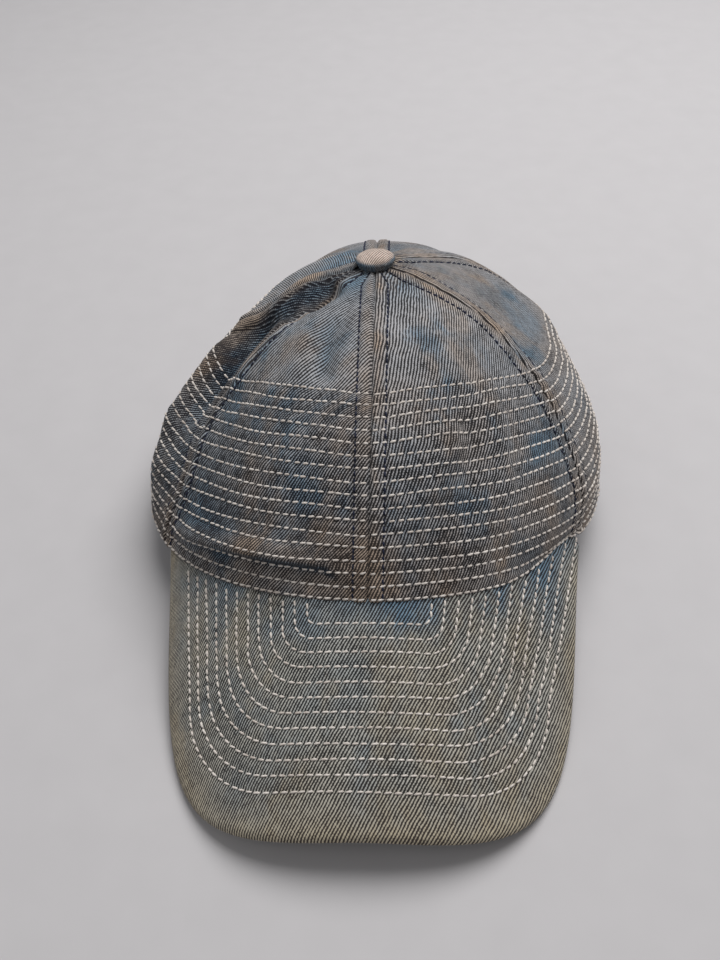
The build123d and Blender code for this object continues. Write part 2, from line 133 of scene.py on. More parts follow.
# Folds and dents of the soft crown: path of (angle, arc), height out of the cloth, and the width on each
# side of the path. The first width is on the upper side of a path that runs towards the wearer's left, and
# so on the side of the lesser angle of a path that runs upwards.
FOLDS = [
    ([(-150, 94), (-150, 106), (-149, 124)], -3.2, 6.0, 7.0),
    ([(-149, 105), (-148, 114), (-147, 124)], -4.0, 6.0, 7.0),
    ([(-158, 34), (-158, 62), (-160, 84), (-162, 99)], -6.0, 9.0, 3.6),
    ([(-192, 62), (-171, 82), (-165, 96), (-163, 108), (-161, 124)], 3.6, 10.0, 4.5),
    ([(-145, 12), (-143.4, 26), (-146, 46), (-148, 75), (-146, 96)], 1.0, 2.6, 3.2),
    ([(-160, -6), (-162, 16), (-165, 36), (-169, 54), (-175, 70), (-182, 90)], 4.6, 5.0, 12.0),
    ([(-164, 26), (-167, 42), (-172, 56), (-179, 74)], 3.0, 7.0, 12.0),
    ([(-186, 24), (-188, 42), (-192, 60)], -2.0, 12.0, 9.0),
    ([(-106, 72), (-110, 84), (-113, 94), (-116, 106)], -2.0, 4.5, 4.5),
    ([(-119, 74), (-122, 88), (-126, 99)], 1.2, 5.0, 5.0),
    ([(-147, 6), (-133, 11), (-119, 12.8), (-108, 12.8), (-100.5, 12.2), (-96.5, 9)], 3.2, 6.0, 1.1),
    ([(-112, 9.5), (-102, 9.2), (-97, 6)], -1.2, 2.0, 4.0),
    ([(-74, 114), (-71, 98), (-73, 84)], -1.5, 4.0, 4.0),
    ([(-63, 99), (-60, 84), (-61, 70)], 1.4, 3.5, 3.5),
    ([(-78, 28), (-72, 44), (-66, 60)], 1.5, 4.5, 4.5),
    ([(-68, 20), (-64, 44), (-60, 68)], -1.6, 3.6, 3.6),
    ([(-56, 26), (-54, 48), (-51, 72)], 1.3, 4.0, 4.0),
    ([(-20, 100), (-6, 84), (2, 62)], -1.5, 9.0, 9.0),
    ([(24, 92), (12, 70), (14, 46)], 1.2, 8.0, 8.0),
    ([(160, 96), (172, 78), (176, 52)], -1.8, 9.0, 9.0),
    ([(62, 104), (56, 84), (52, 60)], -1.6, 8.0, 8.0),
    ([(112, 106), (122, 88), (126, 64)], -1.6, 8.0, 8.0),
]

# Soft patches of colour on the crown: angle, arc, spread of each, and share.
TAN_PATCHES = [(-94, 16, 11, 13, 0.5), (-60, 12, 9, 8, 0.4)]
DYED_PATCHES = [(-38, 30, 5, 20, 1), (-132, 22, 20, 12, 1)]
# Angles, and the arc at each, of the line just under the crease above the bill, where a shadow is painted.
UNDER_CREASE = ([-147, -133, -119, -108, -100, -96], [4.4, 9.4, 11.2, 11.2, 10.4, 7.4])


# ---- frame ----
def rest_placement():
    """Tip and shift that take the cap's own frame to the row frame, read from the strap's axis."""
    joint = next(joint for joint in frame["joints"] if joint["name"] == "strap_slide")
    tip = atan2(joint["axis"][1], joint["axis"][2])
    turn = np.array([[1, 0, 0], [0, cos(tip), sin(tip)], [0, -sin(tip), cos(tip)]])
    middle = np.array([0, STRAP_AXIS_Y, STRAP_LOW + STRAP_WIDTH / 2])
    return turn, np.array(joint["pos_m"]) - turn @ middle * MILLIMETRE


TIP, SHIFT = rest_placement()


def to_row(points):
    return points @ TIP.T * MILLIMETRE + SHIFT


# ---- small numeric helpers ----
def smooth_step(value):
    value = np.clip(value, 0.0, 1.0)
    return value * value * (3 - 2 * value)


def bell(distance, width):
    return np.exp(-((distance / width) ** 2))


def bumps(places, angle, arc):
    """Sum of soft round bumps of height, or patches of colour."""
    return sum(size * bell(angle - at, wide) * bell(arc - up, tall) for at, up, wide, tall, size in places)


def unit(vectors):
    return vectors / np.maximum(np.linalg.norm(vectors, axis=-1, keepdims=True), 1e-9)


def stack(*parts):
    return np.stack(np.broadcast_arrays(*parts), axis=-1)


def same_shape(*parts):
    return np.broadcast_arrays(*(np.asarray(part, float) for part in parts))


def lengths_along(points):
    steps = np.linalg.norm(np.diff(points, axis=0), axis=1)
    return np.concatenate([[0.0], np.cumsum(steps)])


def resample(points, places, values=None):
    """Points, or the values that belong to them, at the given distances along a polyline."""
    values = points if values is None else values
    along = lengths_along(points)
    return np.stack([np.interp(places, along, values[:, i]) for i in range(values.shape[1])], axis=-1)


def evenly(points, count):
    return resample(points, np.linspace(0, lengths_along(points)[-1], count))


def signed(angle):
    """The same direction as an angle from -180 to 180."""
    return (angle + 180.0) % 360.0 - 180.0


def waves(points, wavelength, seed):
    """Smooth ripple between about -1 and 1 that varies over the given wavelength."""
    rng = np.random.default_rng(seed)
    total = 0.0
    for _ in range(7):
        direction = unit(rng.normal(size=3)) * (2 * pi / (wavelength * rng.uniform(0.7, 1.5)))
        total = total + np.sin(points @ direction + rng.uniform(0, 2 * pi))
    return total / 3.0


# ---- bill surface ----
def bill_arch(v):
    return BILL_ARCH - BILL_ARCH_TIGHTENS * np.maximum(v, -60.0)


def bill_height(x, y, lift):
    """Height over (x, y) of a face lifted off the middle of the bill."""
    v = -(y + HEM_HALF_LENGTH) / cos(BILL_SLOPE)
    radius = bill_arch(v)
    level = np.sqrt(np.maximum(1 - (x / radius) ** 2, 0.01))
    return BILL_RISE - v * sin(BILL_SLOPE) - radius * (1 - level) + lift / (level * cos(BILL_SLOPE))


def bill_middle(u, v):
    radius = bill_arch(v)
    y = -HEM_HALF_LENGTH - v * cos(BILL_SLOPE)
    drop = radius * (1 - np.cos(u / radius))
    return stack(radius * np.sin(u / radius), y, BILL_RISE - v * sin(BILL_SLOPE) - drop)


def bill_frame(u, v):
    """Point in the middle of the bill's thickness, and the way up from it."""
    across = bill_middle(u + 0.1, v) - bill_middle(u - 0.1, v)
    forward = bill_middle(u, v + 0.1) - bill_middle(u, v - 0.1)
    return bill_middle(u, v), unit(np.cross(forward, across))


def bill_outline(count):
    turn = np.linspace(0, pi / 2, 120)
    along = np.sin(turn) ** (2 / BILL_SQUARE_ALONG)
    across = BILL_HALF_WIDTH * np.cos(turn) ** (2 / BILL_SQUARE_ACROSS) + BILL_FLARE * (1 - along) ** 3
    forward = (BILL_ROOT_BACK + BILL_REACH) * along - BILL_ROOT_BACK
    right = stack(-across, forward)
    left = stack(across + BILL_FLARE_LEFT * (1 - along) ** 2, forward)
    return evenly(np.concatenate([right, left[-2::-1]]), count)


def hem_tuck(angle):
    """How far the hem has crept in on the wearer's left, beside the bill."""
    return HEM_TUCK * bell(angle - HEM_TUCK_ANGLE, HEM_TUCK_SPREAD)


def flat_below_hem(angles, tuck):
    """Flat pattern of the line on the bill that lies under the hem, moved in by tuck."""
    tuck = tuck + hem_tuck(angles)
    x = (HEM_HALF_WIDTH - tuck) * np.cos(np.radians(angles))
    y = (HEM_HALF_LENGTH - tuck) * np.sin(np.radians(angles))
    v = -(y + HEM_HALF_LENGTH) / cos(BILL_SLOPE)
    return stack(bill_arch(v) * np.arcsin(x / bill_arch(v)), v)


# ---- crown surface ----
def hem_height(angle):
    facing = -np.sin(np.radians(angle))
    x, y = HEM_HALF_WIDTH * np.cos(np.radians(angle)), HEM_HALF_LENGTH * np.sin(np.radians(angle))
    over_bill = bill_height(x, y, BILL_STACK + 0.15)
    return np.where(facing > 0, over_bill * smooth_step((facing - 0.15) / 0.3), 0.0)


def crown_skin(angle, rise):
    low, high = 1 - rise, rise
    reach = low**3 + 3 * low**2 * high * WALL_SHOULDER + 3 * low * high**2 * TOP_FLATNESS
    up = 3 * low**2 * high * WALL_RISE + 3 * low * high**2 + high**3
    sag = bell(signed(angle - SAG_ANGLE), SAG_SPREAD) * np.sin(pi * rise) ** 2
    reach = reach * (1 - SAG_IN * sag)
    x = HEM_HALF_WIDTH * np.cos(np.radians(angle)) * reach + TOP_LEFT * up
    y = HEM_HALF_LENGTH * np.sin(np.radians(angle)) * reach + TOP_BACK * up
    return stack(x, y, hem_height(angle) * (1 - up) + CROWN_HEIGHT * up - SAG_DOWN * sag)


def arc_table():
    """For each whole degree: the length of the cloth from hem to top, and the rise at even steps of it."""
    rises = np.linspace(0, 1, ARC_STEPS)
    skin = crown_skin(np.arange(361.0)[:, None], rises[None, :])
    steps = np.linalg.norm(np.diff(skin, axis=1), axis=2)
    arcs = np.concatenate([np.zeros((361, 1)), np.cumsum(steps, axis=1)], axis=1)
    even = [np.interp(np.linspace(0, row[-1], ARC_STEPS), row, rises) for row in arcs]
    return arcs[:, -1], np.array(even)


ARC_LENGTHS, ARC_RISES = arc_table()


def crown_length(angle):
    """Length of the cloth from the hem to the very top."""
    return np.interp(np.mod(angle, 360.0), np.arange(361.0), ARC_LENGTHS)


def rise_at(angle, arc):
    place = np.mod(angle, 360.0)
    left = np.floor(place).astype(int)
    part = place - left
    spot = np.clip(arc / crown_length(angle), 0, 1) * (ARC_STEPS - 1)
    low = np.minimum(spot.astype(int), ARC_STEPS - 2)
    rest = spot - low
    near = ARC_RISES[left, low] * (1 - rest) + ARC_RISES[left, low + 1] * rest
    far = ARC_RISES[left + 1, low] * (1 - rest) + ARC_RISES[left + 1, low + 1] * rest
    return near * (1 - part) + far * part


def drift(angle, arc):
    """Where cloth at an angle has drifted to, and how much wider it has become.

    The sunken right side has pulled its back seam forward, and the side panel has gone down into a fold.
    """
    place = np.mod(angle, 360.0)
    behind = (place > DRIFT_FROM) & (place < BACK_SEAM)
    beside = (place >= BACK_SEAM) & (place < FRONT_SEAM)
    before = (place >= FRONT_SEAM) & (place < FRONT_SEAM + PANEL_SPAN)
    slack = BACK_SEAM - DRIFT_FROM
    shift = PLEAT * smooth_step((arc - PLEAT_FROM) / PLEAT_RISE)
    part = np.where(beside, (FRONT_SEAM - place) / PANEL_SPAN, 0)
    part = np.where(behind, (place - DRIFT_FROM) / slack, part)
    wider = np.where(behind, shift / slack, np.where(beside, -shift / PANEL_SPAN, 0))
    pull = PULL * bell(arc - PULL_ARC, PULL_SPREAD)
    lean = np.where(beside, (place - BACK_SEAM) / PANEL_SPAN, 0)
    lean = np.where(before, (FRONT_SEAM + PANEL_SPAN - place) / PANEL_SPAN, lean)
    wider = wider + np.where(beside, pull / PANEL_SPAN, np.where(before, -pull / PANEL_SPAN, 0))
    return angle + shift * part + pull * lean, 1 + wider


def crown_frame(angle, arc):
    """Point of the crown after its drift, the way out of it, and the millimetres in one degree."""
    angle, arc = same_shape(angle, arc)
    place, wider = drift(angle, arc)
    skin, normal, per_degree = smooth_crown(place, arc)
    return skin, normal, per_degree * wider


def smooth_crown(angle, arc):
    """Point of the CAD's crown, the way out of it, and the millimetres in one degree."""
    angle, arc = same_shape(angle, arc)
    rise = np.clip(rise_at(angle, arc), 0.002, 0.995)
    around = crown_skin(angle + 0.5, rise) - crown_skin(angle - 0.5, rise)
    upward = crown_skin(angle, rise + 0.002) - crown_skin(angle, rise - 0.002)
    skin = crown_skin(angle, rise_at(angle, arc))
    return skin, unit(np.cross(around, upward)), np.linalg.norm(around, axis=-1)


def path_distance(points, normals, path):
    """Distance from each point to a 3-D path, how far along it from 0 to 1, and which side of it."""
    total = lengths_along(path)
    best = np.full(points.shape[:-1], 1e9)
    along, side = np.zeros_like(best), np.ones_like(best)
    for start, end, low, high in zip(path, path[1:], total, total[1:]):
        run = end - start
        part = np.clip((points - start) @ run / (run @ run), 0, 1)
        away = points - (start + part[..., None] * run)
        distance = np.linalg.norm(away, axis=-1)
        closer = distance < best
        best = np.where(closer, distance, best)
        along = np.where(closer, (low + part * (high - low)) / total[-1], along)
        side = np.where(closer, np.sign(np.sum(away * np.cross(normals, run), axis=-1)), side)
    return best, along, side


FOLD_PATHS = [smooth_crown(*np.array(path, float).T)[0] for path, *_ in FOLDS]


def folds(points, normals):
    """Height of the folds and dents out of the smooth crown."""
    total = np.zeros(points.shape[:-1])
    for (_, height, left, right), path in zip(FOLDS, FOLD_PATHS):
        distance, along, side = path_distance(points, normals, path)
        taper = smooth_step(along / 0.25) * smooth_step((1 - along) / 0.25)
        total += height * bell(distance, np.where(side >= 0, left, right)) * (0.15 + 0.85 * taper)
    return total


def row_arc(row, angle):
    """How far up the cloth a cream row runs. The rows follow the hem and spread a little at the front."""
    off = np.abs(signed(angle + 90))
    top = 62.5 + 10 * smooth_step((85 - off) / 45) - 2 * bell(off, 10)
    return FIRST_ROW + (top - FIRST_ROW) * row / (ROWS - 1)


def row_place(angle, arc):
    """Row number, with its fraction, at a place on the crown."""
    top = row_arc(ROWS - 1, angle)
    return (arc - FIRST_ROW) / (top - FIRST_ROW) * (ROWS - 1)


def seam_distance(angle, per_degree, middle):
    """Distance to the nearer seam of a panel, and the place of its topstitching from that seam."""
    half = PANEL_SPAN / 2 * per_degree
    distance = half - np.abs(angle - middle) * per_degree
    return distance, np.minimum(SEAM_TO_STITCH, 0.62 * half)


def slump(angle, arc):
    """Broad way the soft crown leans off the CAD's smooth one."""
    left = signed(angle)
    return bumps(SLUMP, left, arc) - hem_tuck(left) * bell(arc, 10.0)


def relief(angle, arc, skin, normal, per_degree, middle):
    """Height of the cloth out of the smooth crown: seams, stitching, hem, folds and ripples."""
    distance, stitch = seam_distance(angle, per_degree, middle)
    fold = folds(skin, normal)
    height = fold + slump(angle, arc)
    height += 0.5 * waves(skin, 34.0, 3) * smooth_step((arc - 40) / 40)
    pressed = 1 - 0.85 * smooth_step((-fold - 0.8) / 2.0)
    doubled = smooth_step(distance / 1.6) * (1 - smooth_step((distance - stitch + 1.2) / 1.4))
    height += pressed * SEAM_RIDGE * doubled
    valley = SEAM_VALLEY * (1 - smooth_step(distance / 0.8))
    height -= pressed * (valley + STITCH_DIP * bell(distance - stitch, 0.5))
    height += 0.12 * waves(skin, 6.5, 5) * bell(distance - stitch / 2, 4.0)
    row = row_place(angle, arc)
    in_rows = smooth_step((ROWS - 0.4 - row) / 0.4)
    spacing = np.abs(row - np.round(np.clip(row, 0, ROWS - 1))) * ROW_SPACING
    height -= in_rows * (ROW_DIP * bell(spacing, 0.7) - 0.15)
    height += ROW_PUCKER * waves(skin, 4.5, 9) * in_rows
    height += 0.35 * bell(arc, 2.2) - 0.5 * bell(arc, 0.5)
    return height


def crown_cloth(angle, arc, middle, depth=0.0):
    """Point of a panel's cloth at a depth below its outer face, the way out of it, and its relief."""
    angle, arc = same_shape(angle, arc)
    skin, normal, per_degree = crown_frame(angle, arc)
    height = relief(angle, arc, skin, normal, per_degree, middle)
    return skin + normal * (height - depth)[..., None], normal, height


def clear_of_bill(points, gap):
    """Lifts points that would lie inside the bill onto its upper face."""
    x, y, z = points[..., 0], points[..., 1], points[..., 2]
    over = (y < -40) & (np.abs(x) < 85)
    floor = bill_height(x, y, BILL_STACK + gap)
    points[..., 2] = np.where(over, np.maximum(z, floor), z)
    return points


def rear_place(x, z):
    """The (angle, arc) where the back of the crown is at the given x and z."""
    near_radius = 75.0
    rises = np.linspace(0, 0.8, 161)
    angle = np.full(x.shape, 90.0)
    for _ in range(12):
        skin = crown_skin(angle[:, None], rises[None, :])
        rise = np.array([np.interp(height, row[:, 2], rises) for height, row in zip(z, skin)])
        angle = angle + np.degrees((crown_skin(angle, rise)[:, 0] - x) / near_radius)
    table = ARC_RISES[np.clip(np.round(angle).astype(int), 0, 360)]
    steps = np.linspace(0, 1, ARC_STEPS)
    fractions = [np.interp(reached, row, steps) for reached, row in zip(rise, table)]
    return angle, np.array(fractions) * crown_length(angle)


def arch_line(grow, count=61):
    """The rear opening's edge moved outwards by grow, as (angle, arc)."""
    turn = np.linspace(0, pi, count)
    height = (OPENING_HEIGHT + grow) * np.sin(turn) + 0.01
    return rear_place((OPENING_HALF_WIDTH + grow) * np.cos(turn), height)


def beyond_arch(points, margin):
    """True where a point at the back lies outside the rear opening by the margin."""
    x, y, z = points[..., 0], points[..., 1], points[..., 2]
    inside = (x / (OPENING_HALF_WIDTH + margin)) ** 2 + (z / (OPENING_HEIGHT + margin)) ** 2 < 1
    return ~((y > 40) & inside)


# ---- meshes ----
def add_object(name, data):
    thing = bpy.data.objects.new(name, data)
    bpy.context.scene.collection.objects.link(thing)
    return thing


def add_mesh(name, verts, faces, material, attributes=(), body="crown", replaces=(), slot="denim"):
    """Smooth-shaded object in the row frame, riding on a CAD body."""
    mesh = bpy.data.meshes.new(name)
    mesh.from_pydata(to_row(np.asarray(verts)).tolist(), [], faces)
    for label, values in attributes:
        layer = mesh.attributes.new(label, "FLOAT_VECTOR", "POINT")
        layer.data.foreach_set("vector", np.asarray(values, np.float32).ravel())
    mesh.polygons.foreach_set("use_smooth", [True] * len(mesh.polygons))
    mesh.update()
    mesh.materials.append(material)
    thing = add_object(name, mesh)
    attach(thing, body)
    if replaces:
        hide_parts(*replaces)


def border(rows, columns):
    """Indices of a grid's border, in order round it."""
    grid = np.arange(rows * columns).reshape(rows, columns)
    return np.concatenate([grid[0, :-1], grid[:-1, -1], grid[-1, :0:-1], grid[:0:-1, 0]])


def border_outwards(grid):
    """For each border point, the unit vector that leaves the sheet in its own plane."""
    rows, columns = grid.shape[:2]
    flat = grid.reshape(-1, 3)
    index = border(rows, columns)
    row, column = index // columns, index % columns
    inner = np.clip(row, 1, rows - 2) * columns + np.clip(column, 1, columns - 2)
    return unit(flat[index] - flat[inner])


def grid_faces(rows, columns, offset, flip):
    grid = np.arange(rows * columns).reshape(rows, columns) + offset
    quads = np.stack([grid[:-1, :-1], grid[:-1, 1:], grid[1:, 1:], grid[1:, :-1]], axis=-1).reshape(-1, 4)
    return quads[:, ::-1] if flip else quads


def shell(name, outer, inner, tint, cloth, material, rounding=1.0, **kwargs):
    """Closed sheet between an outer and an inner grid, with a rim that bulges out of its edges.

    Rows run along the first axis. Seen from outside, columns go to the right and rows go up.
    """
    rows, columns = outer.shape[:2]
    count, rim = rows * columns, border(rows, columns)
    top, bottom = outer.reshape(-1, 3)[rim], inner.reshape(-1, 3)[rim]
    centre, half = (top + bottom) / 2, (top - bottom) / 2
    thickness = np.linalg.norm(half, axis=1, keepdims=True)
    away = border_outwards(outer) * thickness * rounding
    rings = [centre + half * cos(t) + away * sin(t) for t in (pi / 5, pi / 2, 4 * pi / 5)]
    verts = np.concatenate([outer.reshape(-1, 3), inner.reshape(-1, 3), *rings])
    faces = [grid_faces(rows, columns, 0, False), grid_faces(rows, columns, count, True)]
    loops = [rim, *(2 * count + i * len(rim) + np.arange(len(rim)) for i in range(3)), rim + count]
    for near, far in zip(loops, loops[1:]):
        faces.append(np.stack([near, far, np.roll(far, -1), np.roll(near, -1)], axis=-1))
    attributes = []
    for label, values in (("tint", tint), ("cloth", cloth)):
        flat = values.reshape(-1, 3)
        attributes.append((label, np.concatenate([flat, flat, *[flat[rim]] * 3])))
    add_mesh(name, verts, np.concatenate(faces).tolist(), material, attributes, **kwargs)


def run_of_stitches(points, normals, radius, pitch, length):
    """Points of the stitches along one run, each a short bowed rod with rounded ends."""
    total = lengths_along(points)[-1]
    count = int(total / pitch)
    if count < 1:
        return np.zeros((0, STITCH_RINGS * STITCH_SIDES, 3))
    along = np.linspace(-1, 1, STITCH_RINGS)
    turn = np.linspace(0, 2 * pi, STITCH_SIDES, endpoint=False)
    starts = (np.arange(count) + 0.5) * total / count + RNG.uniform(-0.12, 0.12, count) * pitch
    spans = length * RNG.uniform(0.88, 1.08, count)
    places = starts[:, None] + spans[:, None] * along / 2
    centre = resample(points, places.ravel()).reshape(count, STITCH_RINGS, 3)
    normal = unit(resample(points, places.ravel(), normals).reshape(count, STITCH_RINGS, 3))
    tangent = unit(centre[:, -1] - centre[:, 0])[:, None]
    side = unit(np.cross(normal, np.broadcast_to(tangent, normal.shape)))
    bow = radius * (0.75 - 1.3 * along**4)
    slant = np.tan(RNG.normal(STITCH_SLANT, 0.04, (count, 1))) * along * spans[:, None] / 2
    centre = centre + side * slant[..., None]
    size = radius * np.sqrt(1 - 0.92 * along**4) * RNG.uniform(0.9, 1.1, (count, 1))
    centre = centre + normal * bow[None, :, None]
    spoke = normal[:, :, None] * np.cos(turn)[:, None] + side[:, :, None] * np.sin(turn)[:, None]
    return (centre[:, :, None] + spoke * size[:, :, None, None]).reshape(count, -1, 3)


def rod_faces(count):
    """Faces of count rods, each a few rings of points with a cap at both ends."""
    size = STITCH_RINGS * STITCH_SIDES
    near = np.arange(STITCH_SIDES)
    far = near + STITCH_SIDES
    ring = np.stack([near, np.roll(near, -1), np.roll(far, -1), far], axis=-1)
    body = np.concatenate([low + ring for low in range(0, size - STITCH_SIDES, STITCH_SIDES)])
    caps = [list(range(STITCH_SIDES))[::-1], list(range(size - STITCH_SIDES, size))]
    faces = (body[None] + np.arange(count)[:, None, None] * size).reshape(-1, 4).tolist()
    for start in range(0, count * size, size):
        faces += [[start + i for i in cap] for cap in caps]
    return faces


def stitches(name, runs, thread, **kwargs):
    """Separate stitches of a thread along runs of (points, normals)."""
    material, *sizes = thread
    verts = np.concatenate([run_of_stitches(points, normals, *sizes) for points, normals in runs])
    add_mesh(name, verts.reshape(-1, 3), rod_faces(len(verts)), material, **kwargs)


# ---- materials ----
def srgb(*levels):
    """Linear colour from 0-255 display values of red, green and blue."""
    linear = [((c / 255 + 0.055) / 1.055) ** 2.4 if c > 10 else c / 255 / 12.92 for c in levels]
    return (*linear, 1.0)


class Nodes:
    """Short-hand for building one material's node tree."""

    def __init__(self, name, roughness, **settings):
        self.material = bpy.data.materials.new(name)
        self.material.use_nodes = True
        self.tree = self.material.node_tree
        self.shader = self.tree.nodes["Principled BSDF"]
        self.shader.inputs["Roughness"].default_value = roughness
        for label, value in settings.items():
            self.shader.inputs[label.replace("_", " ")].default_value = value

    def put(self, kind, *values, **settings):
        """New node with its settings, and its inputs in order linked or set."""
        node = self.tree.nodes.new(kind)
        for label, value in settings.items():
            setattr(node, label, value)
        for socket, value in zip(node.inputs, values):
            self.feed(socket, value)
        return node

    def feed(self, socket, value):
        if isinstance(value, bpy.types.NodeSocket):
            self.tree.links.new(value, socket)
        elif value is not None:
            socket.default_value = value

    def math(self, operation, *values):
        return self.put("ShaderNodeMath", *values, operation=operation).outputs[0]

    def times(self, value, by):
        return self.math("MULTIPLY", value, by)

    def less(self, value, by=0.5):
        return self.math("SUBTRACT", value, by)

    def add(self, value, other, by=None):
        """The sum of two values, or of the first and the second times a factor."""
        return self.math("ADD", value, other if by is None else self.times(other, by))

    def wave(self, value, pitch=1.0):
        return self.math("SINE", self.times(value, 2 * pi / pitch))

    def object_place(self):
        return self.put("ShaderNodeTexCoord").outputs["Object"]

    def attribute(self, name):
        return self.put("ShaderNodeAttribute", attribute_name=name).outputs["Vector"]

    def split(self, vector):
        return self.put("ShaderNodeSeparateXYZ", vector).outputs

    def noise(self, vector, scale, detail=2.0, roughness=0.5):
        node = self.put("ShaderNodeTexNoise")
        self.feed(node.inputs["Vector"], vector)
        for label, value in (("Scale", scale), ("Detail", detail), ("Roughness", roughness)):
            node.inputs[label].default_value = value
        return node.outputs["Fac"]

    def remap(self, value, low, high, to_low=0.0, to_high=1.0):
        values = (value, low, high, to_low, to_high)
        return self.put("ShaderNodeMapRange", *values, interpolation_type="SMOOTHSTEP").outputs[0]

    def mix(self, factor, first, second):
        node = self.put("ShaderNodeMix", data_type="RGBA")
        for socket, value in ((node.inputs[0], factor), (node.inputs[6], first), (node.inputs[7], second)):
            self.feed(socket, value)
        return node.outputs[2]

    def scale(self, vector, by):
        node = self.put("ShaderNodeVectorMath", vector, operation="MULTIPLY")
        node.inputs[1].default_value = by
        return node.outputs[0]

    def finish(self, color, height=None, strength=0.5, distance=0.0002):
        self.feed(self.shader.inputs["Base Color"], color)
        if height is not None:
            bump = self.put("ShaderNodeBump")
            bump.inputs["Strength"].default_value = strength
            bump.inputs["Distance"].default_value = distance
            self.feed(bump.inputs["Height"], height)
            self.feed(self.shader.inputs["Normal"], bump.outputs[0])
        return self.material


TWILL_LEAN = radians(28.0)     # the ribs lean this far to the right of the cloth's own up
TWILL_PITCH = 0.98
PICK = 0.9                     # length of one thread's float along a rib


def twill(nodes, cloth):
    """Height of a twill weave about 0.5, and uneven streaks along its threads, from cloth millimetres."""
    u, v, piece = nodes.split(cloth)
    waver = nodes.less(nodes.noise(cloth, 0.12, 2.0))
    across = nodes.add(nodes.times(u, cos(TWILL_LEAN) / TWILL_PITCH), v, -sin(TWILL_LEAN) / TWILL_PITCH)
    across = nodes.add(across, waver, 0.9)
    along = nodes.add(nodes.times(u, sin(TWILL_LEAN) / PICK), v, cos(TWILL_LEAN) / PICK)
    shifted = nodes.add(along, nodes.math("FLOOR", across), 0.37)
    weave = nodes.add(nodes.times(nodes.wave(across), 0.36), nodes.wave(shifted), 0.10)
    place = nodes.put("ShaderNodeCombineXYZ", across, nodes.times(along, 0.38), piece).outputs[0]
    return nodes.add(weave, 0.5), nodes.less(nodes.noise(place, 1.15, 3.0, 0.7))


UNFADED_LIGHT, UNFADED_DARK = srgb(118, 144, 163), srgb(14, 26, 40)
FADED_DARK, DIRTY_DARK = srgb(54, 52, 52), srgb(66, 55, 48)
CROWN_DIRT, BILL_DIRT = srgb(190, 170, 152), srgb(187, 176, 153)


def denim(name, light, dark, dirt=CROWN_DIRT, contrast=(0.36, 0.80), mottling=0.7, patchiness=0.75):
    """Washed twill. The tint attribute holds the share of tan dirt, of unfaded blue, and of fading; fading
    below zero darkens the cloth as painted shade.
    """
    nodes = Nodes(name, 0.92, Sheen_Weight=0.12, Sheen_Roughness=0.6, Specular_IOR_Level=0.2)
    cloth = nodes.attribute("cloth")
    tan, blue, fade = nodes.split(nodes.attribute("tint"))
    mottle = nodes.noise(nodes.scale(cloth, (1.0, 0.5, 1.0)), 0.06, 5.0, 0.62)
    patches = nodes.noise(nodes.scale(cloth, (1.0, 0.7, 3.0)), 0.05, 4.0, 0.6)
    depth = nodes.noise(nodes.scale(cloth, (1.0, 1.0, 5.0)), 0.13, 5.0, 0.65)
    tan = nodes.math("MINIMUM", nodes.add(tan, nodes.remap(mottle, 0.47, 0.66, 0.0, 0.55)), 1.0)
    blue = nodes.math("MINIMUM", nodes.add(blue, nodes.remap(patches, 0.50, 0.66, 0.0, patchiness)), 1.0)
    weave, streak = twill(nodes, cloth)
    grain = nodes.add(weave, streak, 1.15)
    level = nodes.add(grain, nodes.less(depth), mottling)
    # Fading shifts the lightness; below zero it darkens the cloth as painted shade.
    level = nodes.add(level, nodes.less(fade, 0.4), 0.30)
    clean_light = nodes.mix(blue, light, UNFADED_LIGHT)
    faded_dark = nodes.mix(fade, nodes.mix(blue, dark, UNFADED_DARK), FADED_DARK)
    dirty_light = nodes.mix(tan, clean_light, dirt)
    dirty_dark = nodes.mix(nodes.times(tan, 0.8), faded_dark, DIRTY_DARK)
    color = nodes.mix(nodes.remap(level, *contrast), dirty_dark, dirty_light)
    return nodes.finish(color, grain, 0.6, 0.00035)


def thread_material(name, color, dark):
    nodes = Nodes(name, 0.8, Sheen_Weight=0.2, Specular_IOR_Level=0.25)
    place = nodes.object_place()
    fibre = nodes.noise(place, 2200.0, 2.0)
    shade = nodes.add(nodes.times(fibre, 0.5), nodes.noise(place, 90.0, 3.0), 0.5)
    return nodes.finish(nodes.mix(nodes.remap(shade, 0.35, 0.62), dark, color), fibre, 0.4, 0.0001)


def plain_weave(name, light, dark, pitch):
    """Fine woven cotton for the sweatband and tapes, from cloth coordinates."""
    nodes = Nodes(name, 0.95, Sheen_Weight=0.2, Specular_IOR_Level=0.15)
    cloth = nodes.attribute("cloth")
    u, v, _ = nodes.split(cloth)
    weave = nodes.add(nodes.times(nodes.times(nodes.wave(u, pitch), nodes.wave(v, pitch)), 0.35), 0.5)
    shade = nodes.add(weave, nodes.less(nodes.noise(cloth, 0.05, 4.0, 0.6)), 0.9)
    return nodes.finish(nodes.mix(nodes.remap(shade, 0.15, 0.85), dark, light), weave, 0.4, 0.00015)


def metal(name, color, dark, roughness):
    """Worn metal with tarnish in patches and fine scratches."""
    nodes = Nodes(name, roughness, Metallic=1.0)
    place = nodes.object_place()
    tarnish = nodes.noise(place, 300.0, 5.0, 0.55)
    scratch = nodes.noise(nodes.scale(place, (1.0, 1.0, 9.0)), 900.0, 2.0)
    return nodes.finish(nodes.mix(nodes.remap(tarnish, 0.28, 0.66), dark, color), scratch, 0.12, 0.0001)


def plastic(name, color, shade):
    nodes = Nodes(name, 0.6)
    grain = nodes.noise(nodes.object_place(), 300.0, 3.0)
    return nodes.finish(nodes.mix(grain, shade, color), grain, 0.15, 0.0001)


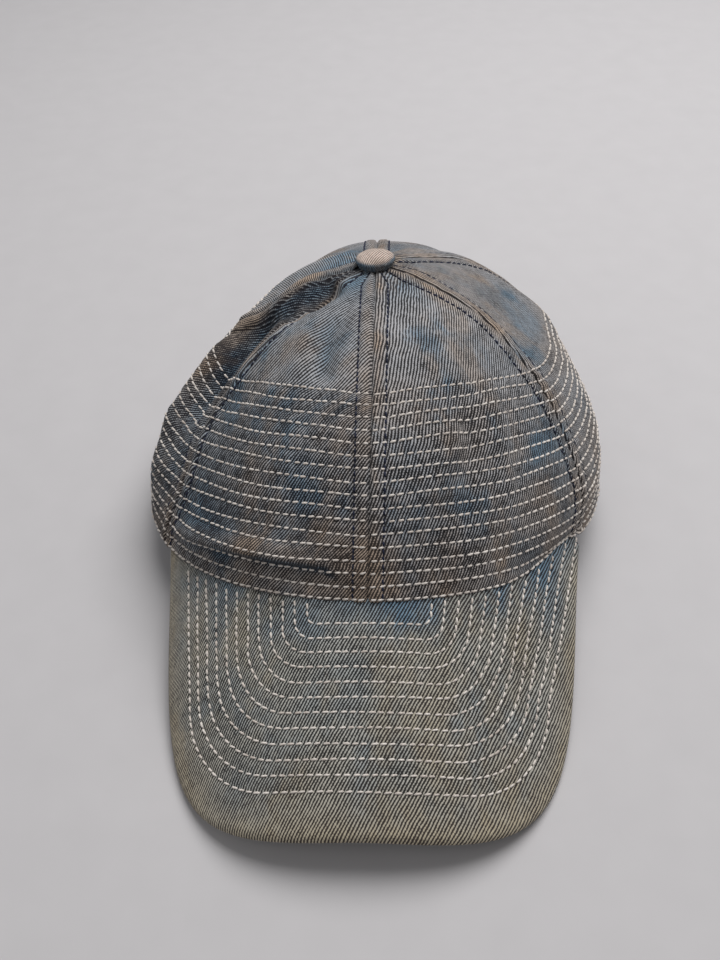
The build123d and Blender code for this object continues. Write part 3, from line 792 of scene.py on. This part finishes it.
CROWN_DENIM = denim("crown_denim", srgb(180, 179, 181), srgb(22, 23, 27))
BILL_DENIM = denim("bill_denim", srgb(186, 184, 176), srgb(34, 35, 34), BILL_DIRT,
                   mottling=0.4, patchiness=0.35)
BUTTON_DENIM = denim("button_denim", srgb(238, 218, 206), srgb(156, 138, 127), contrast=(0.2, 0.8))
CREAM = thread_material("cream_thread", srgb(236, 228, 220), srgb(196, 184, 174))
NAVY = thread_material("navy_thread", srgb(30, 36, 62), srgb(14, 17, 32))
SWEATBAND_CLOTH = plain_weave("sweatband_cotton", srgb(120, 122, 124), srgb(70, 74, 80), 0.7)
TAPE_CLOTH = plain_weave("tape_cotton", srgb(66, 72, 88), srgb(26, 29, 40), 0.8)
BRASS = metal("antique_brass", srgb(168, 130, 76), srgb(112, 84, 50), 0.36)
STEEL = metal("button_steel", srgb(170, 170, 172), srgb(96, 96, 98), 0.42)
BOARD = plastic("bill_board_plastic", srgb(216, 216, 208), srgb(190, 190, 182))

# Threads: material, radius, pitch of the stitches, and length of one stitch.
CREAM_THREAD = (CREAM, 0.39, 2.95, 2.6)
STRAP_THREAD = (CREAM, 0.24, 2.95, 2.6)
SWEATBAND_THREAD = (CREAM, 0.22, 3.0, 2.4)
NAVY_THREAD = (NAVY, 0.38, 2.6, 2.55)
TAPE_THREAD = (NAVY, 0.2, 2.6, 2.2)


# ---- crown ----
def panel_columns(middle):
    """Angles of a panel's columns, closer together beside the seams."""
    half = PANEL_SPAN / 2 - 0.015
    near = np.array([0, 0.12, 0.25, 0.4, 0.55, 0.75, 1.0, 1.35, 1.8, 2.3, 2.8, 3.3])
    inner = np.linspace(3.8, 2 * half - 3.8, 68)
    return middle - half + np.concatenate([near, inner, 2 * half - near[::-1]])


def arch_start(angles):
    """How far up the cloth a column starts: 0, or the edge of the rear opening."""
    edge_angle, edge_arc = arch_line(0.0, 241)
    order = np.argsort(edge_angle)
    start = np.interp(angles, edge_angle[order], edge_arc[order], left=0.0, right=0.0)
    return np.where((angles > edge_angle.min()) & (angles < edge_angle.max()), start, 0.0)


def crown_tint(angle, arc, skin, height, per_degree, middle):
    """Shares of tan dirt, unfaded blue and fading over the crown.

    The sunken right side is bluer, and darker from painted shade, most of all in its fold. A painted shadow
    darkens the line under the crease above the bill, and one edge of the front right seam is lightened, partly
    as wear and partly as a painted highlight.
    """
    distance, stitch = seam_distance(angle, per_degree, middle)
    front, place = signed(angle), np.mod(angle, 360.0)
    seam_wear = bell(distance - 0.4 * stitch, 2.2) * (0.25 + 0.30 * smooth_step((arc - 55) / 30))
    tan = seam_wear * (0.8 + 0.5 * waves(skin, 18, 11)) + 0.25 * smooth_step((height - 0.9) / 1.6)
    tan += 0.35 * bell(arc, 8.0) + 0.30 * smooth_step(waves(skin, 40, 21) - 0.1)
    tan += bumps(TAN_PATCHES, front, arc)
    near_button = bell(np.maximum(crown_length(angle) - arc - 12, 0), 12)
    blue = 0.85 * near_button + 0.95 * bumps(DYED_PATCHES, front, arc)
    blue += 0.4 * smooth_step((-height - 0.8) / 2.0)
    blue += 0.3 * smooth_step(waves(skin, 34, 31) - 0.2)
    # Over the right side panel: bluer cloth, and below arc 80 a painted shade of its sunken recess.
    right_side_blue_and_shade = bell((place - 190) / 45.0, 1.0)
    blue += 0.45 * right_side_blue_and_shade
    # Fading rises above the rows. The rows below are kept darker, partly as painted shade under the light from
    # above.
    fade = 0.12 + 0.36 * smooth_step((arc - row_arc(ROWS - 1, angle) + 2) / 6) + 0.12 * waves(skin, 30, 41)
    # Painted shade: the lower right side panel is darkened for its recess.
    fade = fade - 0.55 * right_side_blue_and_shade * smooth_step((80 - arc) / 20)
    # Painted shade: the band down in the fold of the right side panel is darkened far below the cloth's own
    # fading.
    painted_fold_shade = smooth_step((27 - np.abs(place - 184)) / 5) * smooth_step((arc - 52) / 16)
    fade = fade - 0.95 * painted_fold_shade
    fade = fade - 0.12 * bell(front + 124, 20) * smooth_step((arc - 60) / 12)
    # Painted shadow under the crease above the bill: less tan, more blue and much less fading.
    shade = bell(arc - np.interp(front, *UNDER_CREASE), 1.1)
    shade = shade * smooth_step((front + 142) / 30) * smooth_step((-96 - front) / 3)
    tan, blue, fade = tan - shade, blue + 0.4 * shade, fade - 1.3 * shade
    # One edge of the front right seam is lightened: partly wear of its folded edge, partly a painted highlight
    # on the crest.
    worn_edge_and_highlight = bell(distance - 1.2, 1.0) * bell(front + 149, 2.0) * smooth_step((arc - 55) / 15)
    tan, fade = tan + 0.7 * worn_edge_and_highlight, fade + 0.6 * worn_edge_and_highlight
    # Fading may go below zero, which darkens the cloth as painted shade.
    return np.clip(stack(tan, blue, fade), [0, 0, -1.2], 1)


def flat_lengths(grid, start, piece, scale):
    """Cloth coordinates of a grid: scaled lengths across from its middle column and up from its start."""
    across = np.linalg.norm(np.diff(grid, axis=1), axis=2) * scale[:, 1:]
    u = np.concatenate([np.zeros((len(grid), 1)), np.cumsum(across, axis=1)], axis=1)
    u = u - u[:, grid.shape[1] // 2][:, None]
    upward = np.linalg.norm(np.diff(grid, axis=0), axis=2) * scale[1:]
    v = np.concatenate([np.zeros((1, grid.shape[1])), np.cumsum(upward, axis=0)]) + start
    return stack(u, v, piece)


def crown_panel(name, middle):
    columns = panel_columns(middle)
    start, end = arch_start(columns), crown_length(columns) - 3.0
    part = np.concatenate([[0, 0.0025, 0.006], np.linspace(0, 1, 150)[2:]])
    angle = np.broadcast_to(columns, (len(part), len(columns)))
    arc = start + (end - start) * part[:, None]
    outer, normal, height = crown_cloth(angle, arc, middle)
    inner = outer - normal * DENIM
    skin, normal, per_degree = crown_frame(angle, arc)
    tint = crown_tint(angle, arc, skin, height, per_degree, middle)
    draped = skin + normal * (folds(skin, normal) + slump(angle, arc))[..., None]
    stretch = RIB_STRETCH.get(name, 0.0) * smooth_step((arc - 60) / 14)
    cloth = flat_lengths(draped, start, middle * 1.7, 1 - stretch)
    outer, inner = clear_of_bill(outer, 0.05), clear_of_bill(inner, 0.05)
    shell(name + "_cloth", outer, inner, tint, cloth, CROWN_DENIM, 0.0, replaces=[name])


def on_cloth(angle, arc, middle):
    points, normals, _ = crown_cloth(angle, arc, middle)
    return points, normals


def split_runs(points, normals, keep):
    """Cuts a run where it crosses the rear opening."""
    edges = np.flatnonzero(np.diff(keep.astype(int))) + 1
    pieces = np.split(np.arange(len(points)), edges)
    return [(points[i], normals[i]) for i in pieces if keep[i[0]] and len(i) > 2]


def crown_rows(middle):
    """Runs of the cream rows of one panel."""
    runs = []
    half = PANEL_SPAN / 2 - 0.35
    angles = np.linspace(middle - half, middle + half, 120)
    for row in range(ROWS):
        wobble = 0.25 * np.sin(angles / RNG.uniform(5, 9) + RNG.uniform(0, 6)) + RNG.uniform(-0.35, 0.35)
        arc = row_arc(row, angles) + wobble * (row > 0)
        points, normals = on_cloth(angles, arc, middle)
        runs += split_runs(clear_of_bill(points, 0.3), normals, beyond_arch(points, ROWS_CLEAR_OF_OPENING))
    return runs


def seam_rows(middle):
    """Runs of the navy topstitching along both sides of one panel, except down inside a fold."""
    runs = []
    for side in (-1, 1):
        seam = middle + side * PANEL_SPAN / 2
        arc = np.linspace(0.4, crown_length(np.array(seam)) - 5.5, 150)
        angle = np.full(arc.shape, seam - side * 3.0)
        for _ in range(4):
            _, _, per_degree = crown_frame(angle, arc)
            _, stitch = seam_distance(angle, per_degree, middle)
            angle = seam - side * stitch / per_degree
        points, normals = on_cloth(angle, arc, middle)
        skin, normal, _ = crown_frame(angle, arc)
        shown = beyond_arch(points, 0.5) & (folds(skin, normal) > HIDDEN_IN_FOLD)
        shown &= (middle != PANELS["side_panel_right"]) | (arc < RIGHT_STITCHING_END)
        runs += split_runs(clear_of_bill(points, 0.3), normals, shown)
    return runs


def arch_rows():
    """Runs of the two rows of stitching round the rear opening, one list for each back panel."""
    runs = []
    for grow in (2.2, 6.2):
        angle, arc = arch_line(grow, 121)
        for name in ("back_panel_left", "back_panel_right"):
            middle = PANELS[name]
            keep = np.abs(angle - middle) < PANEL_SPAN / 2 - 0.3
            runs.append(on_cloth(angle[keep], np.maximum(arc[keep], 0.5), middle))
    return runs


def build_crown():
    for name, middle in PANELS.items():
        crown_panel(name, middle)
        stitches("cream_rows_" + name, crown_rows(middle), CREAM_THREAD)
        stitches("navy_rows_" + name, seam_rows(middle), NAVY_THREAD)
    stitches("opening_rows", arch_rows(), CREAM_THREAD)


# ---- inside of the crown ----
def tape(name, points, normals, widths):
    """Thin tape from a grid of points, with its far side pushed against the normals."""
    along = np.array([lengths_along(column)[-1] for column in points.transpose(1, 0, 2)]).mean()
    cloth = stack(widths, np.linspace(0, along, len(points))[:, None], 0.0)
    inner = points - normals * TAPE_CLOTH_THICKNESS
    tint = np.zeros(points.shape)
    shell(name + "_strip", points, inner, tint, cloth, TAPE_CLOTH, replaces=[name], slot="seam_tape")


def tape_rows(name, points, normals):
    """Stitching near both edges of a tape, on the side that faces the head."""
    rows = [(points[:, i] - normals[:, i] * TAPE_CLOTH_THICKNESS, -normals[:, i]) for i in (1, -2)]
    stitches(name + "_rows", rows, TAPE_THREAD, slot="seam_tape")


def side_tape(name, seam):
    """Tape behind a side seam, over the seam allowances of both panels."""
    widths = np.linspace(-6, 6, 13)
    end = crown_length(np.array(float(seam))) - 13.0
    arc = np.linspace(SWEATBAND_HEIGHT + 3.0, end, 90)[:, None]
    _, _, per_degree = crown_frame(seam + np.where(widths < 0, -0.01, 0.01), arc)
    middle = np.where(widths < 0, seam - 30, seam + 30)
    points, normals, _ = crown_cloth(seam + widths / per_degree, arc, middle, TAPE_BEHIND)
    tape(name, points, normals, widths)
    tape_rows(name, points, normals)


def centre_tape():
    """Tape inside over the front-to-back seam."""
    depth = 2.75
    front_arc = np.linspace(SWEATBAND_HEIGHT + 3, crown_length(np.array(-90.0)) - 2, 90)
    back_arc = np.linspace(crown_length(np.array(90.0)) - 2, OPENING_HEIGHT + FACING_WIDTH + 5, 60)
    lines = []
    for seam, arc in ((-90.0, front_arc), (90.0, back_arc)):
        skin, normal, _ = crown_frame(seam, arc)
        lines.append(skin - normal * (depth - slump(seam, arc))[:, None])
    line = evenly(np.concatenate(lines), 120)
    across = np.array([1.0, 0, 0])
    normal = unit(np.cross(across, unit(np.gradient(line, axis=0))))
    widths = np.linspace(-8, 8, 15)
    points = line[:, None] + widths[:, None] * across
    normals = np.broadcast_to(normal[:, None], points.shape)
    tape("seam_tape_centre", points, normals, widths)
    tape_rows("seam_tape_centre", points, normals)


def rear_facing():
    """Tape inside round the rear opening."""
    grows = np.linspace(0.5, FACING_WIDTH, 7)
    columns = []
    for grow in grows:
        angle, arc = arch_line(grow, 121)
        middle = np.where(angle < 90, PANELS["back_panel_left"], PANELS["back_panel_right"])
        columns.append(crown_cloth(angle, np.maximum(arc, 0.3), middle, TAPE_BEHIND)[:2])
    points, normals = (np.stack(part, axis=1) for part in zip(*columns))
    tape("rear_opening_facing", points, normals, grows)


def sweatband():
    """Cotton band inside the hem. It reaches the hem at the sides, and clears the bill and the strap."""
    end = degrees(asin(OPENING_HALF_WIDTH / HEM_HALF_WIDTH)) + 2
    columns = np.linspace(90 - end, 90 + end - 360, 300)
    arc = np.concatenate([[0.5, 0.9], np.linspace(1.6, SWEATBAND_HEIGHT, 34)])[:, None]
    facing = np.sin(np.radians(columns))
    rear = smooth_step((facing - 0.2) / 0.4)
    side = smooth_step((0.32 - np.abs(facing)) / 0.2)
    inset = SWEATBAND_INSET + (SWEATBAND_REAR_INSET - SWEATBAND_INSET) * rear
    inset = inset - 3.6 * side * (1 - smooth_step(arc / 11))
    skin, normal, _ = crown_frame(np.broadcast_to(columns, (len(arc), len(columns))), arc)
    edge_roll = 0.35 * bell(arc - SWEATBAND_HEIGHT + 1.5, 2.0)
    ripple = 0.25 * waves(skin, 16, 51) + edge_roll - 0.25 * bell(arc - SWEATBAND_ROWS[0], 0.7)
    points = skin - normal * (inset + ripple - slump(columns, arc))[..., None]
    cloth = stack(lengths_along(points[10]), arc, 0.0)
    shell("sweatband_band", points, points + normal * 0.7, np.zeros(points.shape), cloth, SWEATBAND_CLOTH,
          replaces=["sweatband"], slot="sweatband_cotton")
    levels = [int(np.argmin(np.abs(arc[:, 0] - height))) for height in SWEATBAND_ROWS]
    rows = [(points[level], -normal[level]) for level in levels]
    stitches("sweatband_rows", rows, SWEATBAND_THREAD, slot="sweatband_cotton")


def build_inside():
    for name, seam in TAPED_SEAMS.items():
        side_tape(name, seam)
    centre_tape()
    rear_facing()
    sweatband()


# ---- bill ----
def bill_fan(u, v):
    """How much wider the rows have spread at a place on the flat bill."""
    return 1 + np.where(u > 0, BILL_FAN[1], BILL_FAN[-1]) * np.maximum(BILL_FAN_FROM - v, 0)


def bill_row_place(u, v):
    """Row number, with its fraction, of the U-shaped rows at a place on the flat bill."""
    near_spacing = 4.5
    row = np.full(np.shape(u), 5.0)
    u = u / bill_fan(u, v)
    v = v + BILL_ROW_BEND * u**2
    for _ in range(12):
        half = BILL_ROW_HALF_WIDTH + BILL_ROW_STEP * row
        depth = BILL_ROW_DEPTH + BILL_ROW_DEPTH_STEP * row
        corner = np.maximum(BILL_ROW_CORNER + BILL_ROW_CORNER_STEP * row, 0.5)
        across, along = np.abs(u) - (half - corner), v - (depth - corner)
        outside = np.hypot(np.maximum(across, 0), np.maximum(along, 0))
        row = row + (outside + np.minimum(np.maximum(across, along), 0) - corner) / near_spacing
    return row


def bill_row_path(row):
    """Flat pattern of one U-shaped row, from the crown on the wearer's right round to the left."""
    half = BILL_ROW_HALF_WIDTH + BILL_ROW_STEP * row
    depth = BILL_ROW_DEPTH + BILL_ROW_DEPTH_STEP * row
    corner = BILL_ROW_CORNER + BILL_ROW_CORNER_STEP * row
    turn = np.linspace(0, pi / 2, 24)
    bend = stack(-(half - corner) - corner * np.cos(turn), depth - corner + corner * np.sin(turn))
    straight = stack(-half, np.linspace(-45, depth - corner, 40))
    side = np.concatenate([straight, bend[1:]])
    path = evenly(np.concatenate([side, side[::-1] * [-1, 1]]), 400)
    path[:, 1] -= BILL_ROW_BEND * path[:, 0] ** 2
    path[:, 0] *= bill_fan(path[:, 0], path[:, 1])
    hem = flat_below_hem(np.linspace(-152, -28, 160), 0.5)
    return path[path[:, 1] > np.interp(path[:, 0], hem[:, 0], hem[:, 1])]


def bill_relief(u, v):
    """Height of the cloth out of the smooth bill: the dips under the rows, puckers and slow waves."""
    row = bill_row_place(u, v)
    spacing = np.abs(row - np.round(np.clip(row, 0, BILL_ROWS - 1))) * BILL_ROW_SPACING
    inside = smooth_step((BILL_ROWS - 0.4 - row) / 0.4)
    place = stack(u, v, 0.0)
    height = -0.38 * bell(spacing, 0.7) * inside + 0.10 * waves(place, 5.0, 61) * inside
    return height + 0.12 * waves(place, 30.0, 63)


def bill_grid(across, forward):
    """Flat pattern grid from the root to the free edge, and each point's distance from that edge."""
    root = evenly(flat_below_hem(np.linspace(-150, -30, 90), BILL_TUCK), across)
    front = bill_outline(across)
    rounding = 0.045 * (1 - np.sin(np.linspace(0.1, pi / 2, 9)))
    part = np.concatenate([np.linspace(0, 0.955, forward), 1 - rounding])
    place = root + (front - root) * part[:, None, None]
    dense = bill_outline(700)
    edge = np.array([np.min(np.hypot(*(row[:, None] - dense).transpose(2, 0, 1)), axis=1) for row in place])
    edge[-1] = 0.0
    return place[..., 0], place[..., 1], edge


def bill_tint(u, v, edge):
    """Shares of tan dirt, unfaded blue and fading over the bill."""
    place = stack(u, v, 0.0)
    hem = flat_below_hem(np.linspace(-150, -30, 121), 0.0)
    behind = v - np.interp(u, hem[:, 0], hem[:, 1])
    tan = 0.65 * bell(edge, 7.0) + 0.25 * bell(edge, 16.0) + 0.18 * smooth_step(waves(place, 40, 71) + 0.1)
    blue = bell(np.maximum(behind, 0), 10.0) * (0.90 + 0.25 * np.tanh(u / 30))
    blue *= 0.85 + 0.3 * waves(place, 18, 73)
    blue += 0.25 * smooth_step(waves(place, 34, 75) - 0.2)
    fade = 0.30 + 0.30 * bell(edge, 9.0) + 0.12 * waves(place, 26, 77)
    return np.clip(stack(tan * (1 - 0.7 * np.clip(blue, 0, 1)), blue, fade), 0, 1)


def bill_cover(name, side):
    """Upper (side 1) or lower (side -1) cover of the bill, rounded over the free edge."""
    u, v, edge = bill_grid(300, 84)
    roll = 2.6
    lift = (BILL_STACK + 0.05) * np.sqrt(1 - (1 - np.minimum(edge / roll, 1)) ** 2) + 0.03
    lift = lift + bill_relief(u, v) * smooth_step(edge / 3.0)
    middle, up = bill_frame(u, v)
    outer = middle + up * (side * lift)[..., None]
    inner = middle + up * (side * np.maximum(lift - BILL_COVER, 0.01))[..., None]
    grids = [outer, inner, bill_tint(u, v, edge), stack(u * side, -v, 7.0 + side)]
    shell(name + "_cloth", *(grid[::-side] for grid in grids), BILL_DENIM, 0.0, replaces=[name])


def bill_rows(side):
    runs = []
    for row in range(BILL_ROWS):
        path = evenly(bill_row_path(row), 260)
        path = path + 0.18 * waves(stack(path[:, 0], path[:, 1], 30.0 * row), 30, 81)[:, None]
        u, v = path[:, 0], path[:, 1]
        middle, up = bill_frame(u, v)
        lift = BILL_STACK + 0.08 + bill_relief(u, v)
        runs.append((middle + up * (side * lift)[:, None], up * side))
    return runs


def build_bill():
    for name, side in (("bill_top_cover", 1), ("bill_under_cover", -1)):
        bill_cover(name, side)
        stitches(name + "_rows", bill_rows(side), CREAM_THREAD)


# ---- button ----
def build_button():
    """Denim-covered button, a little crumpled round its rim."""
    turns = np.linspace(0, 2 * pi, 73)
    part = np.linspace(0.001, 1, 40)[:, None]
    bend = np.minimum(part * 1.25, 1.0) * pi / 2
    skirt = smooth_step((part - 0.8) / 0.2)
    radius = BUTTON_RADIUS * np.sin(bend) * (1 - 0.16 * skirt)
    height = BUTTON_RIM + (BUTTON_HEIGHT - BUTTON_RIM) * np.cos(bend) - 2.4 * skirt
    crumple = 0.12 * np.sin(turns * 11) * smooth_step((part - 0.6) / 0.4)
    radius, height = radius + crumple, height + 0 * turns
    lean = radians(-BUTTON_LEAN)
    x, y = radius * np.cos(turns), radius * np.sin(turns)
    points = stack(x * cos(lean) + height * sin(lean) + TOP_LEFT, y + TOP_BACK,
                   height * cos(lean) - x * sin(lean) + CROWN_HEIGHT + BUTTON_LIFT)
    run = part * BUTTON_RADIUS * 1.5
    cloth = stack(1.3 * run * np.cos(turns), 1.3 * run * np.sin(turns), 3.0)
    top = 1 - smooth_step((part - 0.52) / 0.2)
    tint = stack(0.2 * top + 0 * turns, 1 - top + 0 * turns, 0.15 + 0 * top + 0 * turns)
    centre = np.array([TOP_LEFT, TOP_BACK, CROWN_HEIGHT + 1.5])
    inner = points + unit(centre - points) * 0.5
    shell("button_cover_cloth", points[::-1], inner[::-1], tint[::-1], cloth[::-1], BUTTON_DENIM, 0.0,
          replaces=["button_cover"])


# ---- strap and buckle ----
def about_strap_axis(angle, radius, z):
    turn = np.radians(angle)
    return stack(radius * np.cos(turn), STRAP_AXIS_Y + radius * np.sin(turn), z)


def strap():
    angle = np.linspace(STRAP_ROOT, STRAP_TAIL, 180)[None, :]
    z = STRAP_LOW + STRAP_WIDTH * np.linspace(0.02, 0.98, 26)[:, None]
    up = (z - STRAP_LOW) / STRAP_WIDTH
    dent = 0.16 * sum(bell(up - share, 0.03) for share in STRAP_ROWS)
    outer = about_strap_axis(angle, STRAP_OUTSIDE - dent, z)
    inner = about_strap_axis(angle, STRAP_OUTSIDE - STRAP_THICKNESS + dent, z)
    cloth = stack(np.radians(angle) * -STRAP_OUTSIDE, z + 0 * angle, 11.0)
    wear = 0.8 * (bell(up, 0.1) + bell(up - 1, 0.1)) + 0 * angle
    tint = np.clip(stack(wear * 0.8, 0.15 + 0 * wear, 0.35 + 0 * wear), 0, 1)
    shell("strap_cloth", outer, inner, tint, cloth, CROWN_DENIM, 0.6, body="strap", replaces=["strap"])
    rows = []
    for share in STRAP_ROWS:
        turn = np.linspace(STRAP_ROOT - 1, STRAP_TAIL + 1.2, 160)
        normal = unit(about_strap_axis(turn, 1.0, 0.0) - [0, STRAP_AXIS_Y, 0])
        height = STRAP_LOW + STRAP_WIDTH * share
        rows.append((about_strap_axis(turn, STRAP_OUTSIDE - 0.12, height), normal))
    stitches("strap_rows", rows, STRAP_THREAD, body="strap")


def buckle_point(s, n):
    """Point in the buckle's frame: s along the strap towards the wearer's left, n outwards, at z = 0."""
    turn = radians(BUCKLE_ANGLE)
    along, out = np.array([sin(turn), -cos(turn), 0]), np.array([cos(turn), sin(turn), 0])
    middle = out * (STRAP_OUTSIDE - STRAP_THICKNESS / 2) + [0, STRAP_AXIS_Y, 0]
    return middle + np.asarray(s)[..., None] * along + np.asarray(n)[..., None] * out


def buckle_tab():
    """Denim tab from behind the back panel, round the buckle's bar and back over itself."""
    ply = TAB_THICKNESS * 0.9
    inside = STRAP_THICKNESS / 2 + TAB_GAP
    bar_n = inside + TAB_THICKNESS + BAR_RADIUS + 0.1
    loop = BAR_RADIUS + 0.12 + ply / 2
    bar = buckle_point(BAR_S, bar_n)
    bar_angle = degrees(atan2(bar[1] - STRAP_AXIS_Y, bar[0]))
    lead = about_strap_axis(np.linspace(TAB_END, bar_angle - 1.2, 40), STRAP_OUTSIDE + TAB_GAP + ply / 2, 0.0)
    turn = np.linspace(radians(-100), radians(-275), 26)
    bend = buckle_point(BAR_S + loop * np.cos(turn), bar_n + loop * np.sin(turn))
    back = buckle_point(BAR_S + np.array([2.4, 4.0, 6.5]), inside + ply / 2 + np.array([2.5, 1.5, 1.05]))
    path = evenly(np.concatenate([lead, bend, back]), 150)
    tangent = unit(np.gradient(path, axis=0))
    normal = unit(np.cross(tangent, [0, 0, 1.0]))
    z = STRAP_LOW + STRAP_WIDTH / 2 + np.linspace(-9.4, 9.4, 20)[:, None]
    up = np.array([0, 0, 1.0])
    grid = path[None] + z[..., None] * up
    outer, inner = grid + normal * ply / 2, grid - normal * ply / 2
    cloth = stack(lengths_along(path)[None, :] + 0 * z, z + 0 * path[:, 0], 13.0)
    tint = np.broadcast_to([0.45, 0.1, 0.4], outer.shape)
    shell("buckle_tab_cloth", outer, inner, tint, cloth, CROWN_DENIM, replaces=["buckle_tab"])
    row_z = np.linspace(-7.8, 7.8, 40) + STRAP_LOW + STRAP_WIDTH / 2
    spot = buckle_point(BAR_S + 5.6, inside + ply / 2 + 1.15 + ply / 2)
    outwards = unit(spot - [0, STRAP_AXIS_Y, 0])
    row = spot + row_z[:, None] * up
    stitches("buckle_tab_row", [(row, np.broadcast_to(outwards, row.shape))], STRAP_THREAD)


def dress_cad_node(name, material, bevel=0.0):
    """Gives a CAD solid that keeps its shape its material, and softens its edges."""
    node = frame["nodes"][name]
    node.data.materials.clear()
    node.data.materials.append(material)
    if bevel:
        soft = node.modifiers.new("soft_edges", "BEVEL")
        soft.width, soft.segments, soft.limit_method = bevel, 2, "ANGLE"


def build_strap():
    strap()
    buckle_tab()
    for name in ("buckle_frame", "buckle_lever"):
        dress_cad_node(name, BRASS, 0.00015)
    for name, material in (("buckle_pin", BRASS), ("button_shell", STEEL), ("button_rivet", STEEL),
                           ("bill_board", BOARD)):
        dress_cad_node(name, material)


# ---- stage ----
CAMERA_AT = np.array([9.6, -327.5, 234.4])     # in the cap's own frame
CAMERA_YAW, CAMERA_PITCH, CAMERA_ROLL = radians(-2.70), radians(36.31), radians(-1.46)
CAMERA_LENS = 36.3
LIT_POINT = (0, 0, 0.03)


def camera():
    reach = cos(CAMERA_PITCH)
    forward = np.array([sin(CAMERA_YAW) * reach, cos(CAMERA_YAW) * reach, -sin(CAMERA_PITCH)])
    level = np.array([cos(CAMERA_YAW), -sin(CAMERA_YAW), 0])
    upright = np.cross(level, forward)
    right = cos(CAMERA_ROLL) * level + sin(CAMERA_ROLL) * upright
    axes = np.stack([right, np.cross(right, forward), -forward], axis=1)
    data = bpy.data.cameras.new("camera")
    data.lens, data.sensor_width = CAMERA_LENS, 36.0
    thing = add_object("camera", data)
    matrix = Matrix((TIP @ axes).tolist()).to_4x4()
    matrix.translation = Vector(to_row(CAMERA_AT))
    thing.matrix_world = matrix
    bpy.context.scene.camera = thing


def area_light(name, place, size, watts):
    """Round soft light, in metres in the row frame, that points at the cap."""
    data = bpy.data.lights.new(name, "AREA")
    data.shape, data.size, data.energy = "DISK", size, watts
    thing = add_object(name, data)
    thing.location = place
    thing.rotation_euler = (Vector(LIT_POINT) - Vector(place)).to_track_quat("-Z", "Y").to_euler()


def stage():
    mesh = bpy.data.meshes.new("floor")
    mesh.from_pydata([(-4, -4, 0), (4, -4, 0), (4, 4, 0), (-4, 4, 0)], [], [(0, 1, 2, 3)])
    floor = add_object("floor", mesh)
    nodes = Nodes("floor_paper", 0.8)
    grain = nodes.noise(nodes.object_place(), 60.0, 2.0)
    mesh.materials.append(nodes.finish(nodes.mix(grain, srgb(196, 193, 194), srgb(202, 199, 200))))
    floor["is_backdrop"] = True
    area_light("key", (0.30, 0.50, 1.20), 1.1, 16.0)
    area_light("fill", (-0.5, -0.8, 1.1), 1.2, 2.0)
    world = bpy.data.worlds.new("studio")
    world.use_nodes = True
    sky = world.node_tree.nodes["Background"].inputs
    sky["Color"].default_value = (0.95, 0.97, 1.0, 1)
    sky["Strength"].default_value = 0.20
    bpy.context.scene.world = world
    bpy.context.scene.view_settings.view_transform = "Standard"


def write_sizes():
    boxes = {"cad": CAD_BOX, "visual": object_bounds()}
    {label: [list(map(float, corner)) for corner in box] for label, box in boxes.items()}


build_crown()
build_inside()
build_bill()
build_button()
build_strap()
camera()
stage()
write_sizes()
